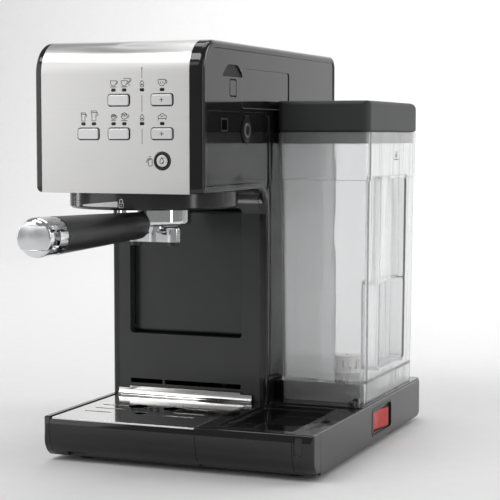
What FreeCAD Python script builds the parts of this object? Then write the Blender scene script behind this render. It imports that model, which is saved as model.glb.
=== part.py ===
"""Espresso and pod coffee machine: a tower with a brew head over a drip tray, a milk-jug dock beside it
and a lift-off water tank behind the dock.

Everything is modelled from one datum: x = 0 at the machine's left side, y = 0 at the front of the base,
z = 0 at the counter it stands on. The export then moves that datum to the bottom centre of the whole
object's box. All sizes are millimetres; the handle points to -Y and the tank stands on the +X side.
"""
import FreeCAD, Part
import math
import os

V = FreeCAD.Vector

# ---------------------------------------------------------------- driving dimensions
# base
BASE_W = 220.0            # width over the base
BASE_D = 286.0            # depth of the base
BASE_H = 35.6             # deck of the base above the counter
FOOT_H = 4.0              # underside of the base above the counter
BASE_WALL = 2.5
BASE_CREASE_H = 19.0      # crease across the front where the face starts to tuck under
BASE_TUCK = 10.0          # how far the tuck runs back at the underside
BASE_BELLY = 1.4          # how far the upper front face swells forward
BASE_REAR_R = 16.0        # rear lower edge, side view
BASE_CORNER_R = 8.0       # rear vertical corners, plan view
BASE_FRONT_R = 3.0        # front vertical corners
EDGE_R = 1.4              # round along the edge of the deck
CHEEK_W = 5.0             # left end of the base front
TRAY_W = 122.0            # drip tray front
DOCK_W = 76.0             # milk dock front
SEAM = 0.4                # visible seam between neighbouring mouldings

# tower: column and head, seen from the side as one upside-down L
TOWER_X = 0.6             # left side of the tower
TOWER_W = 138.0
HEIGHT = 320.0            # top of the head
HEAD_Z = 207.5            # underside of the head
HEAD_OVERHANG = 10.5      # head in front of the base
COLUMN_Y = 116.0          # front of the column
HEAD_TOP_R = 24.0         # top front edge
HEAD_REAR_R = 10.0
HEAD_LOW_R = 4.0
THROAT_R = 20.0           # inner corner between head and column
RIM_W = 5.6               # rim round the side panels
RIM_EDGE_R = 3.5
SHELL = 2.8               # wall of the tower mouldings
SIDE_SHEET = 2.5          # thickness of the side panels
SIDE_SET = 0.6            # side panels lie this far inside the rim

# steel front panel
FASCIA_X = 6.5
FASCIA_W = 121.2
FASCIA_T = 1.0
FIT = 0.15                # gap round a part set in another

# controls
BUTTON_W, BUTTON_H = 16.7, 7.7
BUTTON_R = 1.4
BUTTON_PROUD = 1.2
BUTTON_TRAVEL = 1.2
BUTTON_GAP = 0.8          # running gap round each button
COLUMN_XS = (46.2, 71.2, 106.2)   # button columns, left to right
ROW_TOP_Z, ROW_MID_Z = 275.9, 251.3
CLEAN_Z = 231.6
CLEAN_R, CLEAN_RING_R = 4.5, 6.8
LED_W, LED_H = 3.5, 2.2
LED_RISE = 7.4            # lamp window above its button
LED_PITCH = 8.8
DIVIDER_X = 90.0            # line between the shot buttons and the manual ones
BOARD_GAP = 14.0          # front panel face to circuit board
BOARD_T = 1.6

# cup shelf folded up in the column
SHELF_X, SHELF_W = 17.0, 100.0
SHELF_Z0, SHELF_Z1 = 86.8, 192.0   # recess, bottom and top
SHELF_SET = 9.4           # shelf face behind the column face
SHELF_T = 8.0
RECESS_DEPTH = 18.5
RECESS_WALL = 2.0
SHELF_GAP = 0.6           # shelf to the sides of its recess
PIN_R = 2.0
PIN_PLAY = 0.06

# brew group
GROUP_X, GROUP_Y = 69.0, 54.0
SKIRT_R, SKIRT_H = 65.0, 12.5
SKIRT_WALL = 3.0
COLLAR_WALL = 3.0           # bayonet collar outside the lugs
FLANGE_CLEAR = 3.7          # collar's flange to the inside of the head front
GASKET_H = 4.5
HOLDER_R = 29.0           # portafilter ring
HOLDER_WALL = 2.4
HOLDER_TOP, HOLDER_FLOOR = 202.6, 181.0
LUG_REACH, LUG_H = 4.0, 3.6
LEDGE_T = 2.6
LOCK_TURN = 42.0          # degrees from locked to unlocked
RUN = 0.3                 # clearance between bodies that move past each other
BASKET_T = 0.6
RING_EDGE_R = 3.5           # lower edge of the ring
SPOUT_SPREAD = 16.0       # each spout off the centre line
SPOUT_R, SPOUT_Z = 6.0, 168.0
TIP_R, TIP_Z = 4.2, 165.0
BARREL_RISE, BARREL_EDGE_R = 1.6, 2.0

# handle
GRIP_Z = 182.0            # handle axis above the counter
GRIP_LENGTH = 133.0         # up to the ring, which its end is hollowed to fit
NECK_IN = 4.0               # neck of the ring inside the root of the grip
GRIP_ROOT_R, GRIP_END_R = 10.3, 13.3
CAP_LEN, COLLAR_LEN = 19.0, 7.0
CAP_R = 13.6
STEM_R = 4.0

# drip tray and its cover plate
TRAY_DEPTH_Z = 8.0        # tray floor underside above the counter
TRAY_WALL = 2.0
COVER_T = 1.2
COVER_LIP = 5.0           # cover in front of the tray face
RIDGE_H = 8.5             # upturned edge at the back
RIDGE_T = 1.4
RIDGE_BEND = 4.5             # inner radius where the sheet turns up
TRAY_TRAVEL = 130.0

# milk dock
DOCK_RIM = 12.0           # rim left of the recess
DOCK_SINK = 8.0           # recess depth
DOCK_STEP = 3.0

# tank platform, water inlet boss, tank
RAIL_X, RAIL_W, RAIL_H = 205.6, 4.0, 2.8
RAIL_LEAD, RAIL_TAIL = 7.0, 11.0    # rail in front of the tank, and short of its rear
BOSS_Y0, BOSS_Y1 = 137.0, 213.0
BOSS_X1, BOSS_TOP, BOSS_R = 204.8, 51.0, 24.0
VALVE_X, VALVE_Y = 185.0, 183.0
SEAT_R, SEAT_BORE_R = 13.0, 9.5
TANK_X, TANK_W = 140.6, 78.0
TANK_Y, TANK_D = 131.0, 141.0
TANK_H, TANK_TAPER = 216.0, 2.0
TANK_WALL = 2.4
TANK_R = 7.0              # vertical corners
TANK_STEP_Z = 38.0        # shoulder below the rim
TANK_STEP = 1.0
TANK_FLOOR_RISE = 17.6    # tank floor above the tank's lower edge
GRIP_Y0, GRIP_Y1 = 40.0, 112.0     # hand recess, from the tank's front
GRIP_DEEP, GRIP_SHALLOW = 15.0, 8.0
GRIP_LEDGE = 92.0         # ledge above the tank's lower edge
LID_H, LID_SKIRT = 25.0, 9.0
LID_WALL = 2.2
LID_REAR_R = 18.0
LID_EDGE_R = 3.0
LID_LINE = 1.1              # dark groove between lid and tank, its height and depth

# power switch
SWITCH_Y, SWITCH_Z = 168.0, 19.0
SWITCH_L, SWITCH_H = 34.0, 16.0
SURROUND_Y0, SURROUND_Y1 = 139.0, 193.0
SURROUND_Z0, SURROUND_Z1 = 8.4, 32.0
SWITCH_SINK = 2.1
ROCK = 8.0                # rocker tilt each side of level, degrees

# base details
CORNER_D = 14.0
RIM_GROOVE_X, RIM_GROOVE_W = 206.0, 7.4
RIM_GROOVE_L, RIM_GROOVE_DEEP = 47.0, 1.2
HOSE_HOLE_R = 6.0
PUMP_X, PUMP_Y = 72.0, 190.0
CORD_X, CORD_Z, CORD_HOLE_R = 40.0, 20.0, 6.0
VENT_Y = 170.0
FOOT_INSET_X, FOOT_INSET_Y = 24.0, 32.0

# corner insert
INSERT_X, INSERT_W = 204.8, 6.0
INSERT_Z0, INSERT_Z1 = 20.0, 33.6
INSERT_DEPTH, INSERT_SET = 3.0, 0.5

# milk dock corners
DOCK_R = 5.0

# platform and valve seat
PLATFORM_EDGE = 1.6
PLATFORM_T = 0.9
BOSS_EDGE_R = 1.5
SEAT_FLOOR = 42.0
SEAT_LIP = 0.5
SEAT_PIN_TOP = 46.6
STUB_H = 3.0
HOSE_R, HOSE_BORE_R = 4.0, 2.6

# tower details
RIM_T = 3.1
WARM_EDGE = 12.0
WARM_SINK = 1.5
WARM_RIB_PITCH = 14.0
REAR_VENT_Z = (70.0, 262.0)
REAR_VENT_H = 26.0
REAR_VENT_COUNT = 11
REAR_VENT_PITCH = 7.0
SCREW_R = 1.75

# fascia and board
FASCIA_END = 0.6
BOARD_Z0, BOARD_Z1 = 224.0, 296.0
SWITCH_TALL = 3.5

# cup shelf and drain slot
SHELF_TOP_GAP = 2.6
SHELF_EDGE_R = 2.5
SHELF_PIN_IN = 7.0
SHELF_DISH = 0.8
DRAIN_Z, DRAIN_H = 45.0, 4.0
DRAIN_RIB_X = 29.0

# sensor and steam outlet
SENSOR_Y0, SENSOR_Y1 = 24.0, 37.0
SENSOR_Z0, SENSOR_Z1 = 253.0, 263.0
PORT_Y, PORT_Z = 75.0, 254.0
PORT_R, PORT_TAB_W, PORT_TOP = 9.6, 8.0, 265.5
PORT_RING_R, PORT_BORE_R = 5.6, 4.0
PORT_PROUD = 0.8
JUG_BAY_Y0, JUG_BAY_Y1 = -3.0, 123.0      # sunk field round the outlet and the sensor
JUG_BAY_Z0, JUG_BAY_Z1 = 207.0, 268.0
JUG_BAY_SINK, JUG_BAY_R = 0.9, 6.0
UPPER_FIELD_Y0, UPPER_FIELD_Y1 = 65.5, 168.0
UPPER_FIELD_Z0, UPPER_FIELD_Z1 = 271.0, 301.0
UPPER_FIELD_SINK = 0.6
LATCH_Y, LATCH_SINK = 47.0, 1.5           # hooded latch above the jug
HOOD_W, HOOD_FLAT, HOOD_H, HOOD_Z = 44.0, 20.0, 9.0, 294.0
LATCH_SIDE, LATCH_LINE, LATCH_Z = 13.5, 1.1, 279.0

# bayonet and screen
LUG_ANGLE = -45.0
LUG_SPAN = 34.0
LEDGE_SPAN = 44.0
SCREEN_SET = 5.5

# pump and hoses
PUMP_Z = 62.0
HOSE_Z = 20.0
PRESSURE_Y, PRESSURE_Z = 130.0, 262.0

# handle cap and collar
NECK_SET, NECK_REACH = 2.0, 10.0    # neck inside the grip's surface, and into the ring
CAP_FRONT_R = 4.5
CAP_SLOT, CAP_SLOT_DEEP, CAP_SLOT_R = 16.6, 13.0, 3.5
CAP_PLUG_T, CAP_CORE_R, CAP_LINE = 5.2, 7.0, 0.35
NOTCH_COUNT, NOTCH_START = 12, 38.0
NOTCH_W, NOTCH_DEEP, NOTCH_LAND = 1.1, 1.3, 1.2

# tray and its cover
TRAY_FRONT_T = 3.5
SCOOP_X, SCOOP_W, SCOOP_Z = 17.0, 16.5, 8.2
RIDGE_STEP = 10.0
COVER_HOLES = ((49.0, 65.0, 8.0), (64.0, 38.0, 5.0), (79.0, 65.0, 8.0))
COVER_SLOTS = ((29.5, 33.0, 23.0), (32.0, 48.0, 25.0), (30.0, 63.0, 23.0), (98.0, 34.0, 26.0), (100.0, 48.0, 28.0),
               (100.0, 67.0, 28.0))

# tank valve, hinge and ribs
NECK_R = 7.5
NECK_Z = 47.9
LUG_W, LUG_ROUND = 4.0, 2.6
LID_PIN_R = 1.4
LID_PIN_UP, LID_PIN_BACK = 2.0, 3.0
VALVE_STEM_R = 1.6
FILTER_H = 14.0
WEB_T, WEB_H = 1.6, 10.5       # ribs under the tank floor, behind the boss
WEB_SET = 8.0

# rocker
SURROUND_R = 5.0
ROCKER_PIN_R = 1.2
ROCKER_RISE = 2.4

# ---------------------------------------------------------------- small shape helpers
def to_space(axis, a, b, level):
    """Point (a, b) of a plane at level along axis: x holds (y, z), y holds (x, z), z holds (x, y)."""
    return {"x": V(level, a, b), "y": V(a, level, b), "z": V(a, b, level)}[axis]


def prism(corners, axis, low, high):
    """Solid between low and high along axis; each corner is (a, b, radius)."""
    count = len(corners)
    spans = []
    for i, (a, b, radius) in enumerate(corners):
        here = V(a, b, 0)
        back = V(corners[i - 1][0], corners[i - 1][1], 0) - here
        ahead = V(corners[(i + 1) % count][0], corners[(i + 1) % count][1], 0) - here
        back.normalize()
        ahead.normalize()
        if radius <= 0:
            spans.append((here, here, here))
            continue
        half = back.getAngle(ahead) / 2
        reach = radius / math.tan(half)
        middle = back + ahead
        middle.normalize()
        centre = here + middle * (radius / math.sin(half))
        spans.append((here + back * reach, centre - middle * radius, here + ahead * reach))
    edges = []
    for i, (start, top, end) in enumerate(spans):
        last = spans[i - 1][2]
        if (start - last).Length > 1e-6:
            edges.append(Part.LineSegment(to_space(axis, last.x, last.y, low),
                                          to_space(axis, start.x, start.y, low)).toShape())
        if (end - start).Length > 1e-6:
            edges.append(Part.Arc(to_space(axis, start.x, start.y, low), to_space(axis, top.x, top.y, low),
                                  to_space(axis, end.x, end.y, low)).toShape())
    solid = Part.Face(Part.Wire(edges)).extrude(to_space(axis, 0, 0, high - low))
    return solid


def block(x0, x1, y0, y1, z0, z1, radius=0.0, axis="z"):
    """Box with its edges along axis rounded."""
    if radius <= 0:
        return Part.makeBox(x1 - x0, y1 - y0, z1 - z0, V(x0, y0, z0))
    if axis == "z":
        return prism([(x0, y0, radius), (x1, y0, radius), (x1, y1, radius), (x0, y1, radius)], "z", z0, z1)
    if axis == "y":
        return prism([(x0, z0, radius), (x1, z0, radius), (x1, z1, radius), (x0, z1, radius)], "y", y0, y1)
    return prism([(y0, z0, radius), (y1, z0, radius), (y1, z1, radius), (y0, z1, radius)], "x", x0, x1)


def rod(x, y, z, radius, length, axis="z"):
    """Round bar from a point along +axis."""
    direction = {"x": V(1, 0, 0), "y": V(0, 1, 0), "z": V(0, 0, 1)}[axis]
    return Part.makeCylinder(radius, length, V(x, y, z), direction)


def tube(x, y, z, outer, inner, length, axis="z"):
    return rod(x, y, z, outer, length, axis).cut(rod(x, y, z, inner, length, axis))


def turned(points, x, y, z, axis="z"):
    """Solid of revolution from (radius, height) points, heights measured along +axis from a point."""
    wire = Part.makePolygon([V(r, 0, h) for r, h in points] + [V(points[0][0], 0, points[0][1])])
    solid = Part.Face(wire).revolve(V(0, 0, 0), V(0, 0, 1), 360)
    if axis == "y":
        solid.rotate(V(0, 0, 0), V(1, 0, 0), -90)
    if axis == "x":
        solid.rotate(V(0, 0, 0), V(0, 1, 0), 90)
    solid.translate(V(x, y, z))
    return solid


def soften(solid, radius, picks):
    """Round the edges that picks says yes to."""
    edges = [edge for edge in solid.Edges if picks(edge)]
    return solid.makeFillet(radius, edges) if edges else solid


def join(*solids):
    whole = solids[0].multiFuse(list(solids[1:])) if len(solids) > 1 else solids[0]
    return whole.removeSplitter()


def pipe(points, radius, bend):
    """Round bar along straight runs joined by tangent arcs."""
    edges = []
    last = points[0]
    for i in range(1, len(points) - 1):
        here = points[i]
        back = (points[i - 1] - here).normalize()
        ahead = (points[i + 1] - here).normalize()
        half = back.getAngle(ahead) / 2
        reach = bend / math.tan(half)
        middle = (back + ahead).normalize()
        centre = here + middle * (bend / math.sin(half))
        start, end = here + back * reach, here + ahead * reach
        edges.append(Part.LineSegment(last, start).toShape())
        edges.append(Part.Arc(start, centre - middle * bend, end).toShape())
        last = end
    edges.append(Part.LineSegment(last, points[-1]).toShape())
    path = Part.Wire(edges)
    heading = points[1] - points[0]
    ring = Part.Wire(Part.makeCircle(radius, points[0], heading))
    return path.makePipeShell([ring], True, False)


# ---------------------------------------------------------------- places worked out from the sizes
TOWER_X1 = TOWER_X + TOWER_W
TRAY_X0 = CHEEK_W
TRAY_X1 = CHEEK_W + TRAY_W
DOCK_X1 = TRAY_X1 + DOCK_W
DECK_Z = BASE_H - BASE_WALL
PLATE_TOP = FOOT_H + BASE_WALL
FRONT_Y = -HEAD_OVERHANG
TOP_BEND_Y = FRONT_Y + HEAD_TOP_R
BAY_REAR = COLUMN_Y
SKIRT_Z = HEAD_Z - SKIRT_H
LUG_R = HOLDER_R + LUG_REACH
COLLAR_R = LUG_R + COLLAR_WALL
FLANGE_R = GROUP_Y - FRONT_Y - SHELL - FLANGE_CLEAR
SCREEN_R = HOLDER_R - SCREEN_SET
GRIP_ROOT_Y = GROUP_Y - HOLDER_R + 1.0
GRIP_END_Y = GRIP_ROOT_Y - GRIP_LENGTH
RAIL_Y0 = TANK_Y - RAIL_LEAD
RAIL_Y1 = TANK_Y + TANK_D - RAIL_TAIL
DOCK_FLOOR_LOW = BASE_H - DOCK_SINK - BASE_WALL
HINGE_Y = COLUMN_Y + SHELF_SET + 2.6
HINGE_Z = SHELF_Z0 + 4.6
HINGE_X0, HINGE_X1 = TANK_X + TANK_W / 2 - 15, TANK_X + TANK_W / 2 + 15
SWITCH_BACK_X = BASE_W - 17.0
PIVOT_X = BASE_W - SWITCH_SINK - 2.4
FAR = 1000.0

nodes = {}


def base_profile(inset=0.0, floor=None):
    """Side view of the base: swelling front face, tucked underside, rounded rear lower edge."""
    low = FOOT_H + inset if floor is None else floor
    top = BASE_H - inset
    front = [Part.Arc(V(0, inset, top), V(0, inset - BASE_BELLY, (top + BASE_CREASE_H) / 2),
                      V(0, inset, BASE_CREASE_H)).toShape(),
             Part.Arc(V(0, inset, BASE_CREASE_H),
                      V(0, inset + BASE_TUCK * 0.3, low + (BASE_CREASE_H - low) * 0.42),
                      V(0, inset + BASE_TUCK, low)).toShape()]
    rear = BASE_D - inset
    turn = BASE_REAR_R - inset
    slant = turn * (1 - math.sqrt(0.5))
    lines = [Part.LineSegment(V(0, inset + BASE_TUCK, low), V(0, rear - turn, low)).toShape(),
             Part.Arc(V(0, rear - turn, low), V(0, rear - slant, low + slant), V(0, rear, low + turn)).toShape(),
             Part.LineSegment(V(0, rear, low + turn), V(0, rear, top)).toShape(),
             Part.LineSegment(V(0, rear, top), V(0, inset, top)).toShape()]
    return Part.Face(Part.Wire(front + lines))


def base_block(x0, x1, inset=0.0, floor=None):
    face = base_profile(inset, floor)
    face.translate(V(x0, 0, 0))
    return face.extrude(V(x1 - x0, 0, 0))


def base_form():
    """The whole outside of the base, corners and deck edge rounded; each base moulding is a slice of it."""
    plan = prism([(0, -BASE_BELLY, BASE_FRONT_R), (BASE_W, -BASE_BELLY, BASE_FRONT_R),
                  (BASE_W, BASE_D, BASE_CORNER_R), (0, BASE_D, BASE_CORNER_R)], "z", 0, BASE_H + 1)
    form = base_block(0, BASE_W).common(plan)
    return soften(form, EDGE_R, lambda e: e.BoundBox.ZMin > BASE_H - 1e-3)


def tower_corners(inset, foot):
    """Side view of the tower, each side moved inwards by inset."""
    return [(COLUMN_Y + inset, foot, 0),
            (COLUMN_Y + inset, HEAD_Z + inset, THROAT_R + inset),
            (FRONT_Y + inset, HEAD_Z + inset, max(HEAD_LOW_R - inset, 0.3)),
            (FRONT_Y + inset, HEIGHT - inset, HEAD_TOP_R - inset),
            (BASE_D - inset, HEIGHT - inset, HEAD_REAR_R - inset),
            (BASE_D - inset, foot, 0)]


def tower_block(x0, x1, inset, foot=BASE_H):
    return prism(tower_corners(inset, foot), "x", x0, x1)


# ---------------------------------------------------------------- base
def make_base():
    """Lower housing: left cheek, right wall, rear wall, deck under tower and tank, ribs round the bays."""
    outer = base_form()
    inner = base_block(BASE_WALL, BASE_W - BASE_WALL, BASE_WALL, FOOT_H - 1)
    shell = outer.cut(inner)
    bays = block(TRAY_X0, DOCK_X1 + SEAM, -FAR, BAY_REAR, 0, FAR)
    corner = block(DOCK_X1, BASE_W + 1, -FAR, CORNER_D + SEAM, 0, FAR)
    strip = block(DOCK_X1, BASE_W - BASE_WALL, -FAR, BAY_REAR, 0, DECK_Z)
    groove = block(RIM_GROOVE_X, RIM_GROOVE_X + RIM_GROOVE_W, CORNER_D + DOCK_STEP, CORNER_D + RIM_GROOVE_L,
                   BASE_H - RIM_GROOVE_DEEP, FAR, RIM_GROOVE_W / 2.2)
    shell = shell.cut(bays).cut(corner).cut(strip).cut(groove)
    ribs = [block(BASE_WALL, BASE_W - BASE_WALL, BAY_REAR, BAY_REAR + BASE_WALL, PLATE_TOP, DECK_Z),
            block(TRAY_X0 - BASE_WALL, TRAY_X0, BASE_TUCK, BAY_REAR, PLATE_TOP, DECK_Z),
            block(TRAY_X1 + SEAM, TRAY_X1 + SEAM + BASE_WALL, BASE_TUCK, BAY_REAR, PLATE_TOP, DECK_Z - DOCK_SINK)]
    shell = join(shell, *ribs)
    shell = shell.cut(switch_hole()).cut(rod(VALVE_X, VALVE_Y, 0, HOSE_HOLE_R, FAR))
    shell = shell.cut(rod(PUMP_X, PUMP_Y, 0, HOSE_HOLE_R, FAR))
    shell = shell.cut(rod(CORD_X, BASE_D - BASE_CORNER_R, CORD_Z, CORD_HOLE_R, FAR, "y"))
    nodes["base_shell"] = shell

    plate = base_block(BASE_WALL + FIT, BASE_W - BASE_WALL - FIT, 0).common(
        block(0, BASE_W, BASE_TUCK + 1, BASE_D - BASE_REAR_R, FOOT_H, PLATE_TOP))
    vents = [block(x, x + 3, VENT_Y, VENT_Y + 40, 0, FAR, 1.4) for x in range(40, 100, 8)]
    nodes["bottom_plate"] = plate.cut(Part.makeCompound(vents))

    foot = turned([(0, 0), (8.5, 0), (9.5, 1.0), (9.5, FOOT_H), (0, FOOT_H)], 0, 0, 0)
    feet = []
    for x in (FOOT_INSET_X, BASE_W - FOOT_INSET_X):
        for y in (FOOT_INSET_Y, BASE_D - FOOT_INSET_Y):
            feet.append(foot.translated(V(x, y, 0)))
    nodes["rubber_feet"] = Part.makeCompound(feet)


def make_corner():
    """Right front corner of the base, with its dark upright insert."""
    piece = base_form().common(block(DOCK_X1 + SEAM, BASE_W, -FAR, CORNER_D, PLATE_TOP + FIT, FAR))
    pocket = block(INSERT_X, INSERT_X + INSERT_W, -FAR, INSERT_DEPTH, INSERT_Z0, INSERT_Z1, 1.0, "y")
    nodes["corner_cap"] = piece.cut(pocket)
    insert = block(INSERT_X + FIT, INSERT_X + INSERT_W - FIT, -FAR, INSERT_DEPTH, INSERT_Z0 + FIT,
                   INSERT_Z1 - FIT, 0.8, "y")
    nodes["corner_insert"] = insert.common(base_block(0, BASE_W, INSERT_SET))


# ---------------------------------------------------------------- milk dock
def make_dock():
    """Dock for the milk jug: the base front between tray and corner, with a stepped recess behind it."""
    x0, x1 = TRAY_X1 + SEAM, DOCK_X1
    form = base_form()
    body = form.common(block(x0, x1, -FAR, BAY_REAR - FIT, DOCK_FLOOR_LOW, FAR))
    front = form.cut(base_block(x0 - 1, x1 + 1, BASE_WALL, 0))
    front = front.common(block(x0, x1, -FAR, BASE_TUCK, PLATE_TOP + FIT, FAR))
    recess_x0, recess_x1 = x0 + DOCK_RIM, x1 - DOCK_RIM / 4
    step = block(recess_x0, recess_x1, DOCK_RIM / 2, BAY_REAR - DOCK_RIM / 2, BASE_H - DOCK_STEP, FAR, DOCK_R)
    well = block(recess_x0 + DOCK_STEP, recess_x1 - DOCK_STEP, DOCK_RIM / 2 + DOCK_STEP,
                 BAY_REAR - DOCK_RIM / 2 - DOCK_STEP, BASE_H - DOCK_SINK, FAR, DOCK_R - DOCK_STEP / 2)
    hollow = block(x0 + BASE_WALL * 2 + SEAM, x1 - BASE_WALL, BASE_WALL + 2, BAY_REAR - BASE_WALL, 0,
                   BASE_H - DOCK_SINK - BASE_WALL)
    body = body.cut(step).cut(well).cut(hollow)
    nodes["milk_dock"] = join(body, front)


# ---------------------------------------------------------------- tank platform and water inlet
def make_platform():
    """Deck behind the dock that the tank stands on, with its guide rail and the inlet boss."""
    x0, x1 = TOWER_X1 + FIT, BASE_W - PLATFORM_EDGE
    y0, y1 = COLUMN_Y + PLATFORM_EDGE, BASE_D - PLATFORM_EDGE
    skin = block(x0, x1, y0, y1, BASE_H, BASE_H + PLATFORM_T, 3.0)
    rail = block(RAIL_X, RAIL_X + RAIL_W, RAIL_Y0, RAIL_Y1, BASE_H, BASE_H + PLATFORM_T + RAIL_H, 1.9)
    ends = [rod(RAIL_X + RAIL_W / 2, y, BASE_H, RAIL_W * 0.7, PLATFORM_T + RAIL_H) for y in (RAIL_Y0, RAIL_Y1)]
    whole = join(skin, rail, *ends).cut(rod(VALVE_X, VALVE_Y, 0, HOSE_HOLE_R, FAR))
    nodes["tank_platform"] = whole

    z0 = BASE_H + PLATFORM_T
    outer = prism([(x0, BOSS_Y0, 0), (BOSS_X1, BOSS_Y0, BOSS_R), (BOSS_X1, BOSS_Y1, BOSS_R), (x0, BOSS_Y1, 0)],
                  "z", z0, BOSS_TOP)
    outer = soften(outer, BOSS_EDGE_R, lambda e: e.BoundBox.ZMin > BOSS_TOP - 1e-3 and e.BoundBox.XMax > x0 + 1)
    inner = prism([(x0 + BASE_WALL, BOSS_Y0 + BASE_WALL, 0), (BOSS_X1 - BASE_WALL, BOSS_Y0 + BASE_WALL,
                                                             BOSS_R - BASE_WALL),
                   (BOSS_X1 - BASE_WALL, BOSS_Y1 - BASE_WALL, BOSS_R - BASE_WALL),
                   (x0 + BASE_WALL, BOSS_Y1 - BASE_WALL, 0)], "z", z0 - 1, BOSS_TOP - BASE_WALL)
    boss = outer.cut(inner).cut(rod(VALVE_X, VALVE_Y, 0, SEAT_R - 1.5, FAR))
    nodes["inlet_boss"] = boss

    seat = turned([(SEAT_BORE_R, SEAT_FLOOR - z0), (SEAT_R - 1.5 - FIT, SEAT_FLOOR - z0),
                   (SEAT_R - 1.5 - FIT, BOSS_TOP - z0), (SEAT_R, BOSS_TOP - z0),
                   (SEAT_R, BOSS_TOP + SEAT_LIP - z0), (SEAT_BORE_R, BOSS_TOP + SEAT_LIP - z0)],
                  VALVE_X, VALVE_Y, z0)
    floor = tube(VALVE_X, VALVE_Y, SEAT_FLOOR, SEAT_R - 2, HOSE_BORE_R, 1.5)
    spider = block(VALVE_X - SEAT_BORE_R - 1, VALVE_X + SEAT_BORE_R + 1, VALVE_Y - 0.8, VALVE_Y + 0.8,
                   SEAT_FLOOR, SEAT_FLOOR + 1.5)
    pin = rod(VALVE_X, VALVE_Y, SEAT_FLOOR, 1.4, SEAT_PIN_TOP - SEAT_FLOOR)
    stub = tube(VALVE_X, VALVE_Y, SEAT_FLOOR - STUB_H, HOSE_R + 1.2, HOSE_BORE_R, STUB_H)
    nodes["valve_seat"] = join(seat, floor, spider, pin, stub)


# ---------------------------------------------------------------- tower
def make_tower():
    """Moulded ring seen from the side, split into front, floor, top, rear and column, with two side panels."""
    outer = soften(tower_block(TOWER_X, TOWER_X1, 0), RIM_EDGE_R, lambda e: e.BoundBox.XLength < 1e-3
                   and not (e.BoundBox.ZMax < BASE_H + 1e-3))
    ring = outer.cut(tower_block(TOWER_X - 1, TOWER_X1 + 1, RIM_W, BASE_H - 1))
    ring = ring.cut(tower_block(TOWER_X + RIM_T, TOWER_X1 - RIM_T, SHELL, BASE_H - 1))

    rear = ring.common(block(-FAR, FAR, BASE_D - HEAD_REAR_R, FAR, 0, FAR))
    top = ring.common(block(-FAR, FAR, TOP_BEND_Y, BASE_D - HEAD_REAR_R, HEIGHT - RIM_W - 1, FAR))
    throat_y = COLUMN_Y - THROAT_R
    floor = ring.common(block(-FAR, FAR, FRONT_Y + RIM_W, throat_y, 0, HEAD_Z + RIM_W))
    column = ring.common(block(-FAR, FAR, throat_y, COLUMN_Y + THROAT_R, 0, HEAD_Z + RIM_W + THROAT_R + 2))
    front = ring.common(block(-FAR, FAR, -FAR, TOP_BEND_Y, 0, FAR)).cut(
        block(-FAR, FAR, FRONT_Y + RIM_W, FAR, 0, HEAD_Z + RIM_W))

    # top cover: shallow cup-warming tray with low ribs
    top = top.cut(block(TOWER_X + WARM_EDGE, TOWER_X1 - WARM_EDGE, TOP_BEND_Y + WARM_EDGE * 1.5,
                        BASE_D - HEAD_REAR_R - WARM_EDGE, HEIGHT - WARM_SINK, FAR, 8.0))
    ribs = []
    rib_y = TOP_BEND_Y + WARM_EDGE * 1.5 + WARM_RIB_PITCH
    while rib_y < BASE_D - HEAD_REAR_R - WARM_EDGE - WARM_RIB_PITCH / 2:
        ribs.append(block(TOWER_X + WARM_EDGE + 6, TOWER_X1 - WARM_EDGE - 6, rib_y, rib_y + 2.4,
                          HEIGHT - WARM_SINK, HEIGHT - WARM_SINK / 3, 1.1))
        rib_y += WARM_RIB_PITCH
    nodes["top_cover"] = join(top, *ribs)

    # rear cover: vent slots high and low, screw bosses
    slots = []
    for row_z in REAR_VENT_Z:
        for k in range(REAR_VENT_COUNT):
            x = TOWER_X + TOWER_W / 2 + (k - (REAR_VENT_COUNT - 1) / 2) * REAR_VENT_PITCH
            slots.append(block(x - 1.5, x + 1.5, BASE_D - RIM_W, FAR, row_z, row_z + REAR_VENT_H, 1.4, "y"))
    rear = rear.cut(Part.makeCompound(slots))
    holes = [rod(x, BASE_D - RIM_W, z, SCREW_R + FIT, RIM_W * 2, "y") for x, z in rear_screws()]
    nodes["rear_cover"] = rear.cut(Part.makeCompound(holes))

    # head floor with the opening for the brew group
    nodes["head_floor"] = floor.cut(rod(GROUP_X, GROUP_Y, 0, COLLAR_R + 2, FAR))

    make_front(front)
    make_column(column)
    make_sides()


def rear_screws():
    xs = (TOWER_X + 14, TOWER_X1 - 14)
    return [(x, z) for x in xs for z in (BASE_H + 14, HEIGHT - 26)]


def button_places():
    """Name and centre of each rectangular button."""
    left, middle, right = COLUMN_XS
    return [("button_single_shot", middle, ROW_TOP_Z), ("button_manual_shot", right, ROW_TOP_Z),
            ("button_latte", left, ROW_MID_Z), ("button_cappuccino", middle, ROW_MID_Z),
            ("button_froth", right, ROW_MID_Z)]


def lamp_places():
    """Two lamp windows above each button of the left columns, one above each on the right and on the divider."""
    left, middle, right = COLUMN_XS
    places = [(DIVIDER_X, z + LED_RISE) for z in (ROW_TOP_Z, ROW_MID_Z)]
    for name, x, z in button_places():
        offsets = (0.0,) if x == right else (-LED_PITCH / 2, LED_PITCH / 2)
        places += [(x + offset, z + LED_RISE) for offset in offsets]
    return places


def lamp_hole(x, z, grow):
    return block(x - LED_W / 2 - grow, x + LED_W / 2 + grow, FRONT_Y - 2, FRONT_Y + RIM_W, z - LED_H / 2 - grow,
                 z + LED_H / 2 + grow, LED_H * 0.4, "y")


def button_hole(x, z, grow, depth):
    return block(x - BUTTON_W / 2 - grow, x + BUTTON_W / 2 + grow, FRONT_Y - 2, FRONT_Y + depth,
                 z - BUTTON_H / 2 - grow, z + BUTTON_H / 2 + grow, BUTTON_R + grow, "y")


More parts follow.
